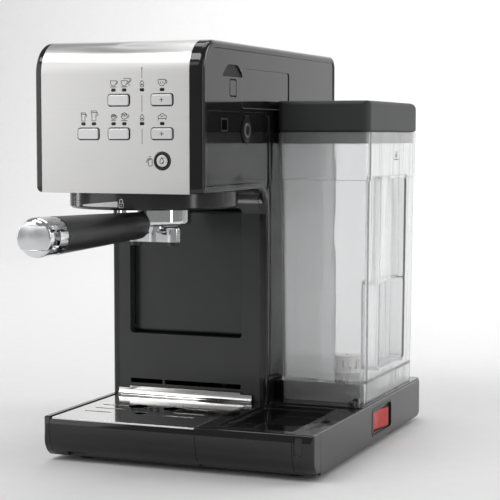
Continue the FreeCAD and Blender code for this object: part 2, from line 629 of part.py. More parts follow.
def make_front(front):
    """Head front moulding, the steel panel let into it, and the openings for buttons and lamps."""
    pocket = tower_block(FASCIA_X - FIT, FASCIA_X + FASCIA_W + FIT, -1, HEAD_Z - 5).cut(
        tower_block(FASCIA_X - 1, FASCIA_X + FASCIA_W + 1, FASCIA_T + FIT, HEAD_Z - 5))
    pocket = pocket.common(block(-FAR, FAR, -FAR, TOP_BEND_Y - FASCIA_END, HEAD_Z - 1, FAR))
    sheet = tower_block(FASCIA_X, FASCIA_X + FASCIA_W, 0).cut(
        tower_block(FASCIA_X - 1, FASCIA_X + FASCIA_W + 1, FASCIA_T))
    sheet = sheet.common(block(-FAR, FAR, -FAR, TOP_BEND_Y - FASCIA_END - FIT, HEAD_Z + HEAD_LOW_R, FAR))
    skirt = block(FASCIA_X, FASCIA_X + FASCIA_W, FRONT_Y, FRONT_Y + FASCIA_T, HEAD_Z, HEAD_Z + HEAD_LOW_R)
    sheet = join(sheet, skirt)
    front = front.cut(pocket).cut(block(FASCIA_X - FIT, FASCIA_X + FASCIA_W + FIT, FRONT_Y - 1,
                                        FRONT_Y + FASCIA_T + FIT, HEAD_Z - 1, HEAD_Z + HEAD_LOW_R + 1))
    cuts = [button_hole(x, z, BUTTON_GAP, RIM_W) for name, x, z in button_places()]
    cuts += [lamp_hole(x, z, FIT / 3) for x, z in lamp_places()]
    cuts.append(rod(COLUMN_XS[2], FRONT_Y - 2, CLEAN_Z, CLEAN_RING_R + FIT, RIM_W + 2, "y"))
    cuts = Part.makeCompound(cuts)
    nodes["steel_fascia"] = sheet.cut(cuts)

    board_y = FRONT_Y + BOARD_GAP
    posts = []
    for x in (FASCIA_X + 14, FASCIA_X + FASCIA_W - 6):
        for z in (BOARD_Z0 + 5, BOARD_Z1 - 5):
            posts.append(rod(x, FRONT_Y + SHELL - 0.5, z, 3.0, BOARD_GAP - SHELL + 0.5, "y"))
    nodes["head_front"] = join(front.cut(cuts), *posts)

    pipes = []
    for x, z in lamp_places():
        lens = lamp_hole(x, z, 0).common(block(-FAR, FAR, FRONT_Y - 0.15, FRONT_Y + RIM_W, 0, FAR))
        stem = rod(x, FRONT_Y + RIM_W - 0.5, z, LED_H * 0.4, BOARD_GAP - RIM_W + 0.5, "y")
        pipes.append(join(lens, stem))
    nodes["lamp_windows"] = Part.makeCompound(pipes)

    board = block(FASCIA_X + 8, FASCIA_X + FASCIA_W - 2, board_y, board_y + BOARD_T, BOARD_Z0, BOARD_Z1, 2.0, "y")
    parts = [board]
    for name, x, z in button_places() + [("clean", COLUMN_XS[2], CLEAN_Z)]:
        parts.append(block(x - 3, x + 3, board_y - SWITCH_TALL, board_y, z - 3, z + 3, 0.5, "y"))
    parts.append(block(FASCIA_X + 30, FASCIA_X + 58, board_y + BOARD_T, board_y + BOARD_T + 6, BOARD_Z0 + 8,
                       BOARD_Z0 + 22, 1.0, "y"))
    parts.append(block(FASCIA_X + 70, FASCIA_X + 92, board_y + BOARD_T, board_y + BOARD_T + 7, BOARD_Z0 + 26,
                       BOARD_Z0 + 44, 1.0, "y"))
    nodes["control_board"] = join(*parts)

    plunger_end = board_y - SWITCH_TALL - BUTTON_TRAVEL - RUN
    for name, x, z in button_places():
        cap = block(x - BUTTON_W / 2, x + BUTTON_W / 2, FRONT_Y - BUTTON_PROUD, FRONT_Y + RIM_W, z - BUTTON_H / 2,
                    z + BUTTON_H / 2, BUTTON_R, "y")
        cap = soften(cap, 0.5, lambda e: e.BoundBox.YMax < FRONT_Y - BUTTON_PROUD + 1e-3)
        flange = block(x - BUTTON_W / 2 - 1.2, x + BUTTON_W / 2 + 1.2, FRONT_Y + SHELL + RUN,
                       FRONT_Y + SHELL + RUN + 1.4, z - BUTTON_H / 2 - 1.2, z + BUTTON_H / 2 + 1.2, 1.0, "y")
        stem = rod(x, FRONT_Y + SHELL + RUN, z, 2.0, plunger_end - FRONT_Y - SHELL - RUN, "y")
        nodes[name] = join(cap, flange, stem)
    x = COLUMN_XS[2]
    nodes["clean_ring"] = turned([(CLEAN_R + BUTTON_GAP, -0.4), (CLEAN_RING_R - 0.6, -0.4), (CLEAN_RING_R, 0.2),
                                  (CLEAN_RING_R, SHELL + 1.2), (CLEAN_R + BUTTON_GAP, SHELL + 1.2)],
                                 x, FRONT_Y, CLEAN_Z, "y")
    knob = turned([(0, -BUTTON_PROUD), (CLEAN_R - 0.6, -BUTTON_PROUD), (CLEAN_R, -BUTTON_PROUD + 0.6),
                   (CLEAN_R, SHELL + 2), (CLEAN_R + 1.2, SHELL + 2), (CLEAN_R + 1.2, SHELL + 3.2),
                   (2.0, SHELL + 3.2), (2.0, plunger_end - FRONT_Y), (0, plunger_end - FRONT_Y)],
                  x, FRONT_Y, CLEAN_Z, "y")
    nodes["button_clean"] = knob


def make_column(column):
    """Column front with the recess that holds the folded cup shelf, and the slot above the tray."""
    x0, x1 = SHELF_X, SHELF_X + SHELF_W
    tub = block(x0 - RECESS_WALL, x1 + RECESS_WALL, COLUMN_Y + SHELL - 0.5, COLUMN_Y + RECESS_DEPTH + RECESS_WALL,
                SHELF_Z0 - RECESS_WALL, SHELF_Z1 + RECESS_WALL)
    mouth = block(x0, x1, COLUMN_Y - THROAT_R, COLUMN_Y + SHELF_SET - 1, SHELF_Z0, SHELF_Z1, 3.0, "y")
    pocket = block(x0, x1, COLUMN_Y + SHELF_SET - 1, COLUMN_Y + RECESS_DEPTH, SHELF_Z0, SHELF_Z1)
    opening = mouth.fuse(pocket)
    column = join(column, tub.common(block(-FAR, FAR, 0, FAR, 0, FAR))).cut(opening)
    pin_holes = rod(x0 - RECESS_WALL, HINGE_Y, HINGE_Z, PIN_R + PIN_PLAY, SHELF_W + 2 * RECESS_WALL, "x")
    column = column.cut(pin_holes)
    slot = block(x0, x1 - 1, 0, COLUMN_Y + SHELL + 1, DRAIN_Z, DRAIN_Z + DRAIN_H)
    rib = block(x0 + DRAIN_RIB_X, x0 + DRAIN_RIB_X + 2, COLUMN_Y + 0.4, COLUMN_Y + SHELL, DRAIN_Z - 0.5,
                DRAIN_Z + DRAIN_H + 0.5)
    column = join(column.cut(slot), rib)
    nodes["column_front"] = column

    panel = block(x0 + SHELF_GAP, x1 - SHELF_GAP, COLUMN_Y + SHELF_SET, COLUMN_Y + SHELF_SET + SHELF_T,
                  SHELF_Z0 + SHELF_GAP, SHELF_Z1 - SHELF_TOP_GAP)
    panel = soften(panel, SHELF_EDGE_R, lambda e: e.BoundBox.XLength > SHELF_W / 2)
    hollow = block(x0 + SHELF_GAP + 4, x1 - SHELF_GAP - 4, COLUMN_Y + SHELF_SET + SHELF_T - SHELF_DISH, FAR,
                   SHELF_Z0 + SHELF_GAP + 9, SHELF_Z1 - SHELF_TOP_GAP - 5, 3.0, "y")
    panel = panel.cut(hollow)
    grip_ribs = []
    rib_z = SHELF_Z0 + SHELF_GAP + 18
    while rib_z < SHELF_Z1 - SHELF_TOP_GAP - 10:
        grip_ribs.append(block(x0 + 12, x1 - 12, COLUMN_Y + SHELF_SET + SHELF_T - SHELF_DISH - 0.5,
                               COLUMN_Y + SHELF_SET + SHELF_T - 0.2, rib_z, rib_z + 2.2))
        rib_z += 9.0
    bore = rod(x0, HINGE_Y, HINGE_Z, PIN_R + PIN_PLAY, SHELF_PIN_IN + SHELF_GAP, "x")
    bores = [bore, bore.translated(V(SHELF_W - SHELF_PIN_IN - SHELF_GAP, 0, 0))]
    nodes["cup_shelf"] = join(panel, *grip_ribs).cut(Part.makeCompound(bores))
    pin_len = RECESS_WALL + SHELF_GAP + SHELF_PIN_IN - 1
    nodes["shelf_pins"] = Part.makeCompound([
        rod(x0 - RECESS_WALL, HINGE_Y, HINGE_Z, PIN_R, pin_len, "x"),
        rod(x1 + RECESS_WALL - pin_len, HINGE_Y, HINGE_Z, PIN_R, pin_len, "x")])


def make_sides():
    """Gloss side panels set inside the rim; the right one carries the steam outlet and the jug sensor."""
    inset = RIM_W + FIT
    left = tower_block(TOWER_X + SIDE_SET, TOWER_X + SIDE_SET + SIDE_SHEET, inset, BASE_H + FIT)
    right = tower_block(TOWER_X1 - SIDE_SET - SIDE_SHEET, TOWER_X1 - SIDE_SET, inset, BASE_H + FIT)
    nodes["left_panel"] = left
    port = keyhole(TOWER_X1 - SIDE_SET - SIDE_SHEET - 1, TOWER_X1 + 1, FIT)
    sensor = block(TOWER_X1 - 10, TOWER_X1 + 1, SENSOR_Y0 - FIT, SENSOR_Y1 + FIT, SENSOR_Z0 - FIT, SENSOR_Z1 + FIT,
                   1.0, "x")
    right = right.cut(Part.makeCompound(side_pockets()))
    nodes["right_panel"] = right.cut(port).cut(sensor)

    plate = keyhole(TOWER_X1 - SIDE_SET - SIDE_SHEET, TOWER_X1 - SIDE_SET + 0.2, 0)
    ring = tube(TOWER_X1 - SIDE_SET - 12, PORT_Y, PORT_Z, PORT_RING_R, PORT_BORE_R, 12 + PORT_PROUD, "x")
    body = join(plate.cut(rod(0, PORT_Y, PORT_Z, PORT_BORE_R, FAR, "x")), ring)
    nodes["steam_outlet"] = body

    frame = block(TOWER_X1 - SIDE_SET - 7, TOWER_X1 - SIDE_SET + 0.1, SENSOR_Y0, SENSOR_Y1, SENSOR_Z0, SENSOR_Z1,
                  1.0, "x")
    pit = block(TOWER_X1 - SIDE_SET - 5.5, TOWER_X1 + 1, SENSOR_Y0 + 1.2, SENSOR_Y1 - 1.2, SENSOR_Z0 + 1.2,
                SENSOR_Z1 - 1.2)
    nodes["jug_sensor"] = frame.cut(pit)


def side_pockets():
    """Sunk fields of the right panel, and the hood and square line of the jug's latch."""
    face = TOWER_X1 - SIDE_SET
    bay = block(face - JUG_BAY_SINK, FAR, JUG_BAY_Y0, JUG_BAY_Y1, JUG_BAY_Z0, JUG_BAY_Z1, JUG_BAY_R, "x")
    field = block(face - UPPER_FIELD_SINK, FAR, UPPER_FIELD_Y0, UPPER_FIELD_Y1, UPPER_FIELD_Z0, UPPER_FIELD_Z1,
                  JUG_BAY_R / 2, "x")
    hood = prism([(LATCH_Y - HOOD_W / 2, HOOD_Z, 1.0), (LATCH_Y + HOOD_W / 2, HOOD_Z, 1.0),
                  (LATCH_Y + HOOD_FLAT / 2, HOOD_Z + HOOD_H, HOOD_H), (LATCH_Y - HOOD_FLAT / 2, HOOD_Z + HOOD_H, HOOD_H)],
                 "x", face - LATCH_SINK, face + 1)
    half = LATCH_SIDE / 2
    line = block(face - LATCH_SINK, face + 1, LATCH_Y - half, LATCH_Y + half, LATCH_Z, LATCH_Z + LATCH_SIDE, 1.5, "x")
    pad = block(face - LATCH_SINK - 1, face + 2, LATCH_Y - half + LATCH_LINE, LATCH_Y + half - LATCH_LINE,
                LATCH_Z + LATCH_LINE, LATCH_Z + LATCH_SIDE - LATCH_LINE, 1.0, "x")
    return [bay, field, hood, line.cut(pad)]


def keyhole(x0, x1, grow):
    disc = rod(x0, PORT_Y, PORT_Z, PORT_R + grow, x1 - x0, "x")
    tab = block(x0, x1, PORT_Y - PORT_TAB_W / 2 - grow, PORT_Y + PORT_TAB_W / 2 + grow, PORT_Z, PORT_TOP + grow,
                1.5, "x")
    return join(disc, tab)


# ---------------------------------------------------------------- brew group
def lug_sector(start, span, inner, outer, z, height):
    """Part of a ring between two radii; angles in degrees from +X."""
    solid = Part.makeCylinder(outer, height, V(0, 0, 0), V(0, 0, 1), span)
    solid = solid.cut(rod(0, 0, -1, inner, height + 2))
    solid.rotate(V(0, 0, 0), V(0, 0, 1), start)
    solid.translate(V(GROUP_X, GROUP_Y, z))
    return solid


def make_group():
    """Skirt under the head, collar with the bayonet, gasket, shower screen and the heater above."""
    skirt = turned([(SKIRT_R - SKIRT_WALL, SKIRT_H), (SKIRT_R - SKIRT_WALL, SKIRT_WALL),
                    (COLLAR_R + RUN, SKIRT_WALL), (COLLAR_R + RUN, 0), (SKIRT_R - 1.5, 0), (SKIRT_R, 1.5),
                    (SKIRT_R, SKIRT_H)], GROUP_X, GROUP_Y, SKIRT_Z)
    nodes["group_skirt"] = skirt.cut(block(-FAR, FAR, COLUMN_Y - THROAT_R - 1, FAR, 0, FAR))

    lug_z = SKIRT_Z + 0.5 + LEDGE_T + RUN
    top = HEAD_Z + SHELL
    roof = HOLDER_TOP + BASKET_T + RUN + GASKET_H
    collar = turned([(LUG_R + 0.8, SKIRT_Z + 0.5), (COLLAR_R, SKIRT_Z + 0.5), (COLLAR_R, top),
                     (FLANGE_R, top), (FLANGE_R, top + 5), (0, top + 5), (0, roof),
                     (LUG_R + 0.8, roof)], GROUP_X, GROUP_Y, 0)
    ledges = [lug_sector(a, LEDGE_SPAN, HOLDER_R + 0.5, LUG_R + 1.2, SKIRT_Z + 0.5, LEDGE_T)
              for a in (LUG_ANGLE - LEDGE_SPAN / 2, LUG_ANGLE + 180 - LEDGE_SPAN / 2)]
    nodes["brew_head"] = join(collar, *ledges).cut(rod(GROUP_X, GROUP_Y, roof - 1, 1.6, FAR))
    nodes["head_gasket"] = tube(GROUP_X, GROUP_Y, roof - GASKET_H, LUG_R + 0.5, HOLDER_R - 4.5, GASKET_H)
    screen = rod(GROUP_X, GROUP_Y, roof - 3, SCREEN_R, 1.0)
    rim = tube(GROUP_X, GROUP_Y, roof - 3, SCREEN_R, SCREEN_R - 1, 3)
    holes = [rod(GROUP_X + r * math.cos(a), GROUP_Y + r * math.sin(a), 0, 1.0, FAR)
             for r, n in ((8, 8), (14, 14), (19.5, 20)) for a in [2 * math.pi * k / n for k in range(n)]]
    screen = join(screen, rim).cut(Part.makeCompound(holes)).cut(rod(GROUP_X, GROUP_Y, 0, 2.6, FAR))
    nodes["shower_screen"] = screen
    head = turned([(0, 0), (4.0, 0), (4.6, 0.8), (4.6, 1.8), (2.2, 1.8), (2.2, 4.8), (0, 4.8)],
                  GROUP_X, GROUP_Y, roof - 4.8)
    nodes["screen_screw"] = head.cut(block(GROUP_X - 4, GROUP_X + 4, GROUP_Y - 0.5, GROUP_Y + 0.5, 0,
                                           roof - 4.0))

    block_z = top + 5
    heater = block(GROUP_X - 38, GROUP_X + 38, GROUP_Y - 32, GROUP_Y + 36, block_z, block_z + 26, 10.0)
    fins = [block(GROUP_X - 30 + 12 * k, GROUP_X - 25 + 12 * k, GROUP_Y - 26, GROUP_Y + 30, block_z + 25.5,
                  block_z + 30, 2.0) for k in range(6)]
    nodes["thermoblock"] = join(heater, *fins)
    valve_y = GROUP_Y + 36
    body = block(GROUP_X - 12, GROUP_X + 12, valve_y, valve_y + 22, block_z, block_z + 18, 2.0)
    coil = rod(GROUP_X, valve_y + 11, block_z + 18, 11.0, 26)
    nodes["steam_valve"] = join(body, coil)
    steam_z = block_z + 13
    x0, x1 = GROUP_X + 38, TOWER_X1 - SIDE_SET - 12
    run = [V(x0, PORT_Y, steam_z), V(x0 + 9.5, PORT_Y, steam_z), V(x0 + 9.5, PORT_Y, PORT_Z), V(x1, PORT_Y, PORT_Z)]
    nodes["steam_pipe"] = pipe(run, 2.4, 4.4)


# ---------------------------------------------------------------- pump and hoses
def make_water_path():
    """Vibration pump on rubber mounts, fed from the tank inlet under the deck."""
    coil = block(PUMP_X - 22, PUMP_X + 22, PUMP_Y - 24, PUMP_Y + 24, PUMP_Z, PUMP_Z + 42, 3.0)
    wrap = block(PUMP_X - 18, PUMP_X + 18, PUMP_Y - 27, PUMP_Y + 27, PUMP_Z + 7, PUMP_Z + 35, 9.0)
    inlet = turned([(0, 0), (HOSE_R, 0), (HOSE_R, 6), (9, 8), (9, 16), (0, 16)], PUMP_X, PUMP_Y, PUMP_Z - 16)
    outlet = turned([(0, 0), (11, 0), (11, 14), (7, 18), (HOSE_R + 1, 18), (HOSE_R + 1, 26), (0, 26)],
                    PUMP_X, PUMP_Y, PUMP_Z + 42)
    nodes["water_pump"] = join(coil, wrap, inlet, outlet)
    mount = turned([(0, 0), (7, 0), (5, 5), (5, PUMP_Z - BASE_H - 5), (7, PUMP_Z - BASE_H), (0, PUMP_Z - BASE_H)],
                   0, 0, BASE_H)
    nodes["pump_mounts"] = Part.makeCompound([mount.translated(V(PUMP_X + dx, PUMP_Y + dy, 0))
                                              for dx in (-15, 15) for dy in (-17, 17)])
    seat_end = SEAT_FLOOR - STUB_H
    low = [V(VALVE_X, VALVE_Y, seat_end), V(VALVE_X, VALVE_Y, HOSE_Z), V(PUMP_X, PUMP_Y, HOSE_Z),
           V(PUMP_X, PUMP_Y, PUMP_Z - 16)]
    nodes["inlet_hose"] = pipe(low, HOSE_R, 12.0)
    heater_z = HEAD_Z + SHELL + 5 + 13
    rear_y = GROUP_Y + 36
    pump_top = PUMP_Z + 68
    high = [V(PUMP_X, PUMP_Y, pump_top), V(PUMP_X, PUMP_Y, PRESSURE_Z), V(GROUP_X + 26, PRESSURE_Y, PRESSURE_Z),
            V(GROUP_X + 26, PRESSURE_Y, heater_z), V(GROUP_X + 26, rear_y, heater_z)]
    nodes["pressure_hose"] = pipe(high, 3.0, 12.0)


# ---------------------------------------------------------------- portafilter
def make_portafilter():
    """Metal holder with bayonet lugs, filter basket, twin spout and the long grip."""
    edge = [(HOLDER_R - RING_EDGE_R * (1 - math.sin(math.radians(a))),
             HOLDER_FLOOR + RING_EDGE_R * (1 - math.cos(math.radians(a)))) for a in range(0, 91, 15)]
    bowl = turned([(0, HOLDER_FLOOR)] + edge + [
                   (HOLDER_R, HOLDER_TOP), (HOLDER_R - HOLDER_WALL, HOLDER_TOP),
                   (HOLDER_R - HOLDER_WALL, HOLDER_FLOOR + 6), (HOLDER_R - 10, HOLDER_FLOOR + 2),
                   (0, HOLDER_FLOOR + 2)], GROUP_X, GROUP_Y, 0)
    lug_z = SKIRT_Z + 0.5 + LEDGE_T + RUN
    lugs = [lug_sector(a - LUG_SPAN / 2, LUG_SPAN, HOLDER_R - 1, LUG_R, lug_z, LUG_H)
            for a in (LUG_ANGLE, LUG_ANGLE + 180)]
    boss = rod(GROUP_X, GROUP_Y, HOLDER_FLOOR - 3, SPOUT_SPREAD - SPOUT_R - RUN, 4)
    neck_y = GROUP_Y - HOLDER_R - NECK_IN
    neck = rod(GROUP_X, neck_y, GRIP_Z, GRIP_ROOT_R - NECK_SET, NECK_IN + NECK_REACH, "y")
    neck = neck.cut(rod(GROUP_X, GROUP_Y, HOLDER_FLOOR + 2, HOLDER_R - HOLDER_WALL, FAR))
    neck = neck.cut(rod(GROUP_X, neck_y - 1, GRIP_Z, STEM_R - 0.02, 10, "y"))
    whole = join(bowl, boss, neck, *lugs).cut(rod(GROUP_X, GROUP_Y, 0, 3.0, HOLDER_FLOOR + 4))
    whole = whole.cut(rod(GROUP_X, neck_y - 1, GRIP_Z, STEM_R, 9, "y"))
    nodes["portafilter_body"] = whole

    outer = HOLDER_R - HOLDER_WALL - 0.3
    low = HOLDER_FLOOR + 4.6
    basket = turned([(outer - BASKET_T, HOLDER_TOP + BASKET_T), (HOLDER_R, HOLDER_TOP + BASKET_T),
                     (HOLDER_R, HOLDER_TOP), (outer, HOLDER_TOP), (outer, low + 4),
                     (outer - 4, low), (0, low), (0, low + BASKET_T), (outer - 4.3, low + BASKET_T),
                     (outer - BASKET_T, low + 4.3)],
                    GROUP_X, GROUP_Y, 0)
    nodes["filter_basket"] = basket

    arm_top = HOLDER_FLOOR - 3
    barrel_top = arm_top + BARREL_RISE
    arm = block(GROUP_X - SPOUT_SPREAD, GROUP_X + SPOUT_SPREAD, GROUP_Y - SPOUT_R + 1, GROUP_Y + SPOUT_R - 1,
                SPOUT_Z, arm_top - BARREL_RISE)
    barrels = [soften(rod(GROUP_X + s * SPOUT_SPREAD, GROUP_Y, SPOUT_Z, SPOUT_R, barrel_top - SPOUT_Z),
                      BARREL_EDGE_R, lambda e: e.BoundBox.ZMin > barrel_top - 1e-3) for s in (-1, 1)]
    spout = join(arm, *barrels, rod(GROUP_X, GROUP_Y, SPOUT_Z, SPOUT_R, arm_top - SPOUT_Z))
    channel = block(GROUP_X - SPOUT_SPREAD, GROUP_X + SPOUT_SPREAD, GROUP_Y - 1.6, GROUP_Y + 1.6, SPOUT_Z + 5.5,
                    arm_top - 2 * BARREL_RISE)
    drops = [rod(GROUP_X + s * SPOUT_SPREAD, GROUP_Y, SPOUT_Z - 1, TIP_R - 1.2, 8) for s in (-1, 1)]
    spout = spout.cut(channel).cut(Part.makeCompound(drops)).cut(rod(GROUP_X, GROUP_Y, SPOUT_Z + 6, 3.0, FAR))
    nodes["twin_spout"] = spout
    nodes["spout_tips"] = Part.makeCompound([
        tube(GROUP_X + s * SPOUT_SPREAD, GROUP_Y, TIP_Z, TIP_R, TIP_R - 1.4, SPOUT_Z - TIP_Z) for s in (-1, 1)])

    length = GRIP_ROOT_Y - GRIP_END_Y
    grip = turned([(STEM_R, 0), (GRIP_END_R - 0.6, 0), (GRIP_END_R, 0.8), (GRIP_ROOT_R, length - 2.5),
                   (GRIP_ROOT_R - 1.0, length), (STEM_R, length)], GROUP_X, GRIP_END_Y, GRIP_Z, "y")
    grip = grip.cut(rod(GROUP_X, neck_y, GRIP_Z, GRIP_ROOT_R - NECK_SET + FIT / 3, NECK_IN + HOLDER_R, "y"))
    nodes["handle_grip"] = grip.cut(rod(GROUP_X, GROUP_Y, 0, HOLDER_R + FIT, FAR))
    collar_y = GRIP_END_Y - COLLAR_LEN
    collar = turned([(STEM_R, 0), (CAP_R - 0.5, 0), (CAP_R - 0.2, 0.3), (CAP_R - 0.2, COLLAR_LEN - 1.6),
                     (GRIP_END_R - 0.8, COLLAR_LEN - 1.2), (GRIP_END_R - 0.8, COLLAR_LEN), (STEM_R, COLLAR_LEN)],
                    GROUP_X, collar_y, GRIP_Z, "y")
    notch = block(-NOTCH_W / 2, NOTCH_W / 2, collar_y + NOTCH_LAND, GRIP_END_Y + 1, CAP_R - NOTCH_DEEP, FAR)
    notches = [notch.rotated(V(0, 0, 0), V(0, 1, 0), NOTCH_START + 360.0 * k / NOTCH_COUNT)
               .translated(V(GROUP_X, 0, GRIP_Z)) for k in range(NOTCH_COUNT)]
    nodes["handle_collar"] = collar.cut(Part.makeCompound(notches))

    # cap: a shell slotted right through from side to side, and a round-faced plug on a core in the slot
    cap_y = collar_y - CAP_LEN
    shell = soften(rod(GROUP_X, cap_y, GRIP_Z, CAP_R, CAP_LEN, "y"), CAP_FRONT_R,
                   lambda e: e.BoundBox.YMax < cap_y + 1e-3)
    slot = prism([(cap_y - 1, GRIP_Z - CAP_SLOT / 2, 0), (cap_y + CAP_SLOT_DEEP, GRIP_Z - CAP_SLOT / 2, CAP_SLOT_R),
                  (cap_y + CAP_SLOT_DEEP, GRIP_Z + CAP_SLOT / 2, CAP_SLOT_R),
                  (cap_y - 1, GRIP_Z + CAP_SLOT / 2, 0)], "x", GROUP_X - 2 * CAP_R, GROUP_X + 2 * CAP_R)
    plug = soften(rod(GROUP_X, cap_y, GRIP_Z, CAP_R - 0.6, CAP_PLUG_T, "y"), 1.0,
                  lambda e: e.BoundBox.YMax < cap_y + 1e-3)
    flats = CAP_SLOT / 2 - CAP_LINE
    plug = plug.common(block(0, FAR, -FAR, FAR, GRIP_Z - flats, GRIP_Z + flats))
    core = rod(GROUP_X, cap_y + 1, GRIP_Z, CAP_CORE_R, CAP_LEN - 1, "y")
    cap = join(shell.cut(slot), plug, core)
    nodes["handle_cap"] = cap.cut(rod(GROUP_X, cap_y + 7, GRIP_Z, STEM_R, CAP_LEN, "y"))
    stem_y0 = cap_y + 7
    nodes["handle_rod"] = rod(GROUP_X, stem_y0, GRIP_Z, STEM_R - 0.05, neck_y + 8 - stem_y0 - 0.05, "y")


# ---------------------------------------------------------------- drip tray
def make_tray():
    """Pull-out tray whose front is part of the base front, and the steel plate the cups stand on."""
    x0, x1 = TRAY_X0 + SEAM, TRAY_X1
    y1 = BAY_REAR - 1.0
    rim_z = BASE_H - COVER_T - 0.4
    whole = base_block(x0, x1).common(block(0, BASE_W, -FAR, y1, FOOT_H, rim_z))
    whole = whole.cut(block(0, BASE_W, BASE_TUCK + 0.6, FAR, 0, PLATE_TOP + RUN))
    cavity = block(x0 + TRAY_WALL, x1 - TRAY_WALL, TRAY_FRONT_T, y1 - TRAY_WALL, TRAY_DEPTH_Z + TRAY_WALL, FAR, 5.0)
    scoop = block(SCOOP_X, SCOOP_X + SCOOP_W, -FAR, BASE_TUCK + 8, 0, SCOOP_Z, 2.0, "y")
    tray = whole.cut(cavity).cut(scoop.common(block(-FAR, FAR, -FAR, BASE_TUCK + 2, 0, FAR)))
    posts = [rod(x, y, TRAY_DEPTH_Z + TRAY_WALL - 0.5, 3.0, rim_z - TRAY_DEPTH_Z - TRAY_WALL + 0.5)
             for x in (x0 + 36, x1 - 36) for y in (38, 82)]
    nodes["drip_tray"] = join(tray, *posts)

    z0 = rim_z + 0.1
    x0, x1 = x0 + 2.2, x1 + 0.4
    plate = block(x0, x1 - 0.8, -BASE_BELLY - 0.6, y1 - 0.5, z0, z0 + COVER_T, 1.5)
    ridge = block(x0, x1 - 0.8, y1 - 0.5 - RIDGE_T, y1 - 0.5, z0, z0 + RIDGE_H - 1.5)
    raised = block(x0 + RIDGE_STEP, x1 - 0.8 - RIDGE_STEP, y1 - 0.5 - RIDGE_T, y1 - 0.5, z0, z0 + RIDGE_H)
    cove_y, cove_z = y1 - 0.5 - RIDGE_T, z0 + COVER_T
    cove = block(x0, x1 - 0.8, cove_y - RIDGE_BEND, cove_y, cove_z, cove_z + RIDGE_BEND)
    cove = cove.cut(rod(x0 - 1, cove_y - RIDGE_BEND, cove_z + RIDGE_BEND, RIDGE_BEND, x1 - x0 + 2, "x"))
    cuts = [rod(x, y, 0, r, FAR) for x, y, r in COVER_HOLES]
    for cx, cy, length in COVER_SLOTS:
        cuts.append(block(cx - length / 2, cx + length / 2, cy - 1.5, cy + 1.5, 0, FAR, 1.45))
    nodes["tray_cover"] = join(plate, ridge, raised, cove).cut(Part.makeCompound(cuts))


# ---------------------------------------------------------------- water tank
def tank_box(grow, z0, z1):
    """Tapered tank form between two heights: grow widens every side."""
    rings = []
    for z in (z0, z1):
        taper = TANK_TAPER * (1 - (z - TANK_Z) / TANK_H) - grow
        x0, x1 = TANK_X + taper, TANK_X + TANK_W - taper
        y0, y1 = TANK_Y + taper, TANK_Y + TANK_D - taper
        rings.append(rounded_wire(x0, x1, y0, y1, z, TANK_R + grow))
    return Part.makeLoft(rings, True, True)


def rounded_wire(x0, x1, y0, y1, z, radius):
    k = radius * (1 - math.sqrt(0.5))
    edges = []
    marks = [((x0 + radius, y0), (x1 - radius, y0), (x1 - k, y0 + k), (x1, y0 + radius)),
             ((x1, y0 + radius), (x1, y1 - radius), (x1 - k, y1 - k), (x1 - radius, y1)),
             ((x1 - radius, y1), (x0 + radius, y1), (x0 + k, y1 - k), (x0, y1 - radius)),
             ((x0, y1 - radius), (x0, y0 + radius), (x0 + k, y0 + k), (x0 + radius, y0))]
    for start, end, top, after in marks:
        edges.append(Part.LineSegment(V(*start, z), V(*end, z)).toShape())
        edges.append(Part.Arc(V(*end, z), V(*top, z), V(*after, z)).toShape())
    return Part.Wire(edges)


TANK_Z = BASE_H + PLATFORM_T + 0.3


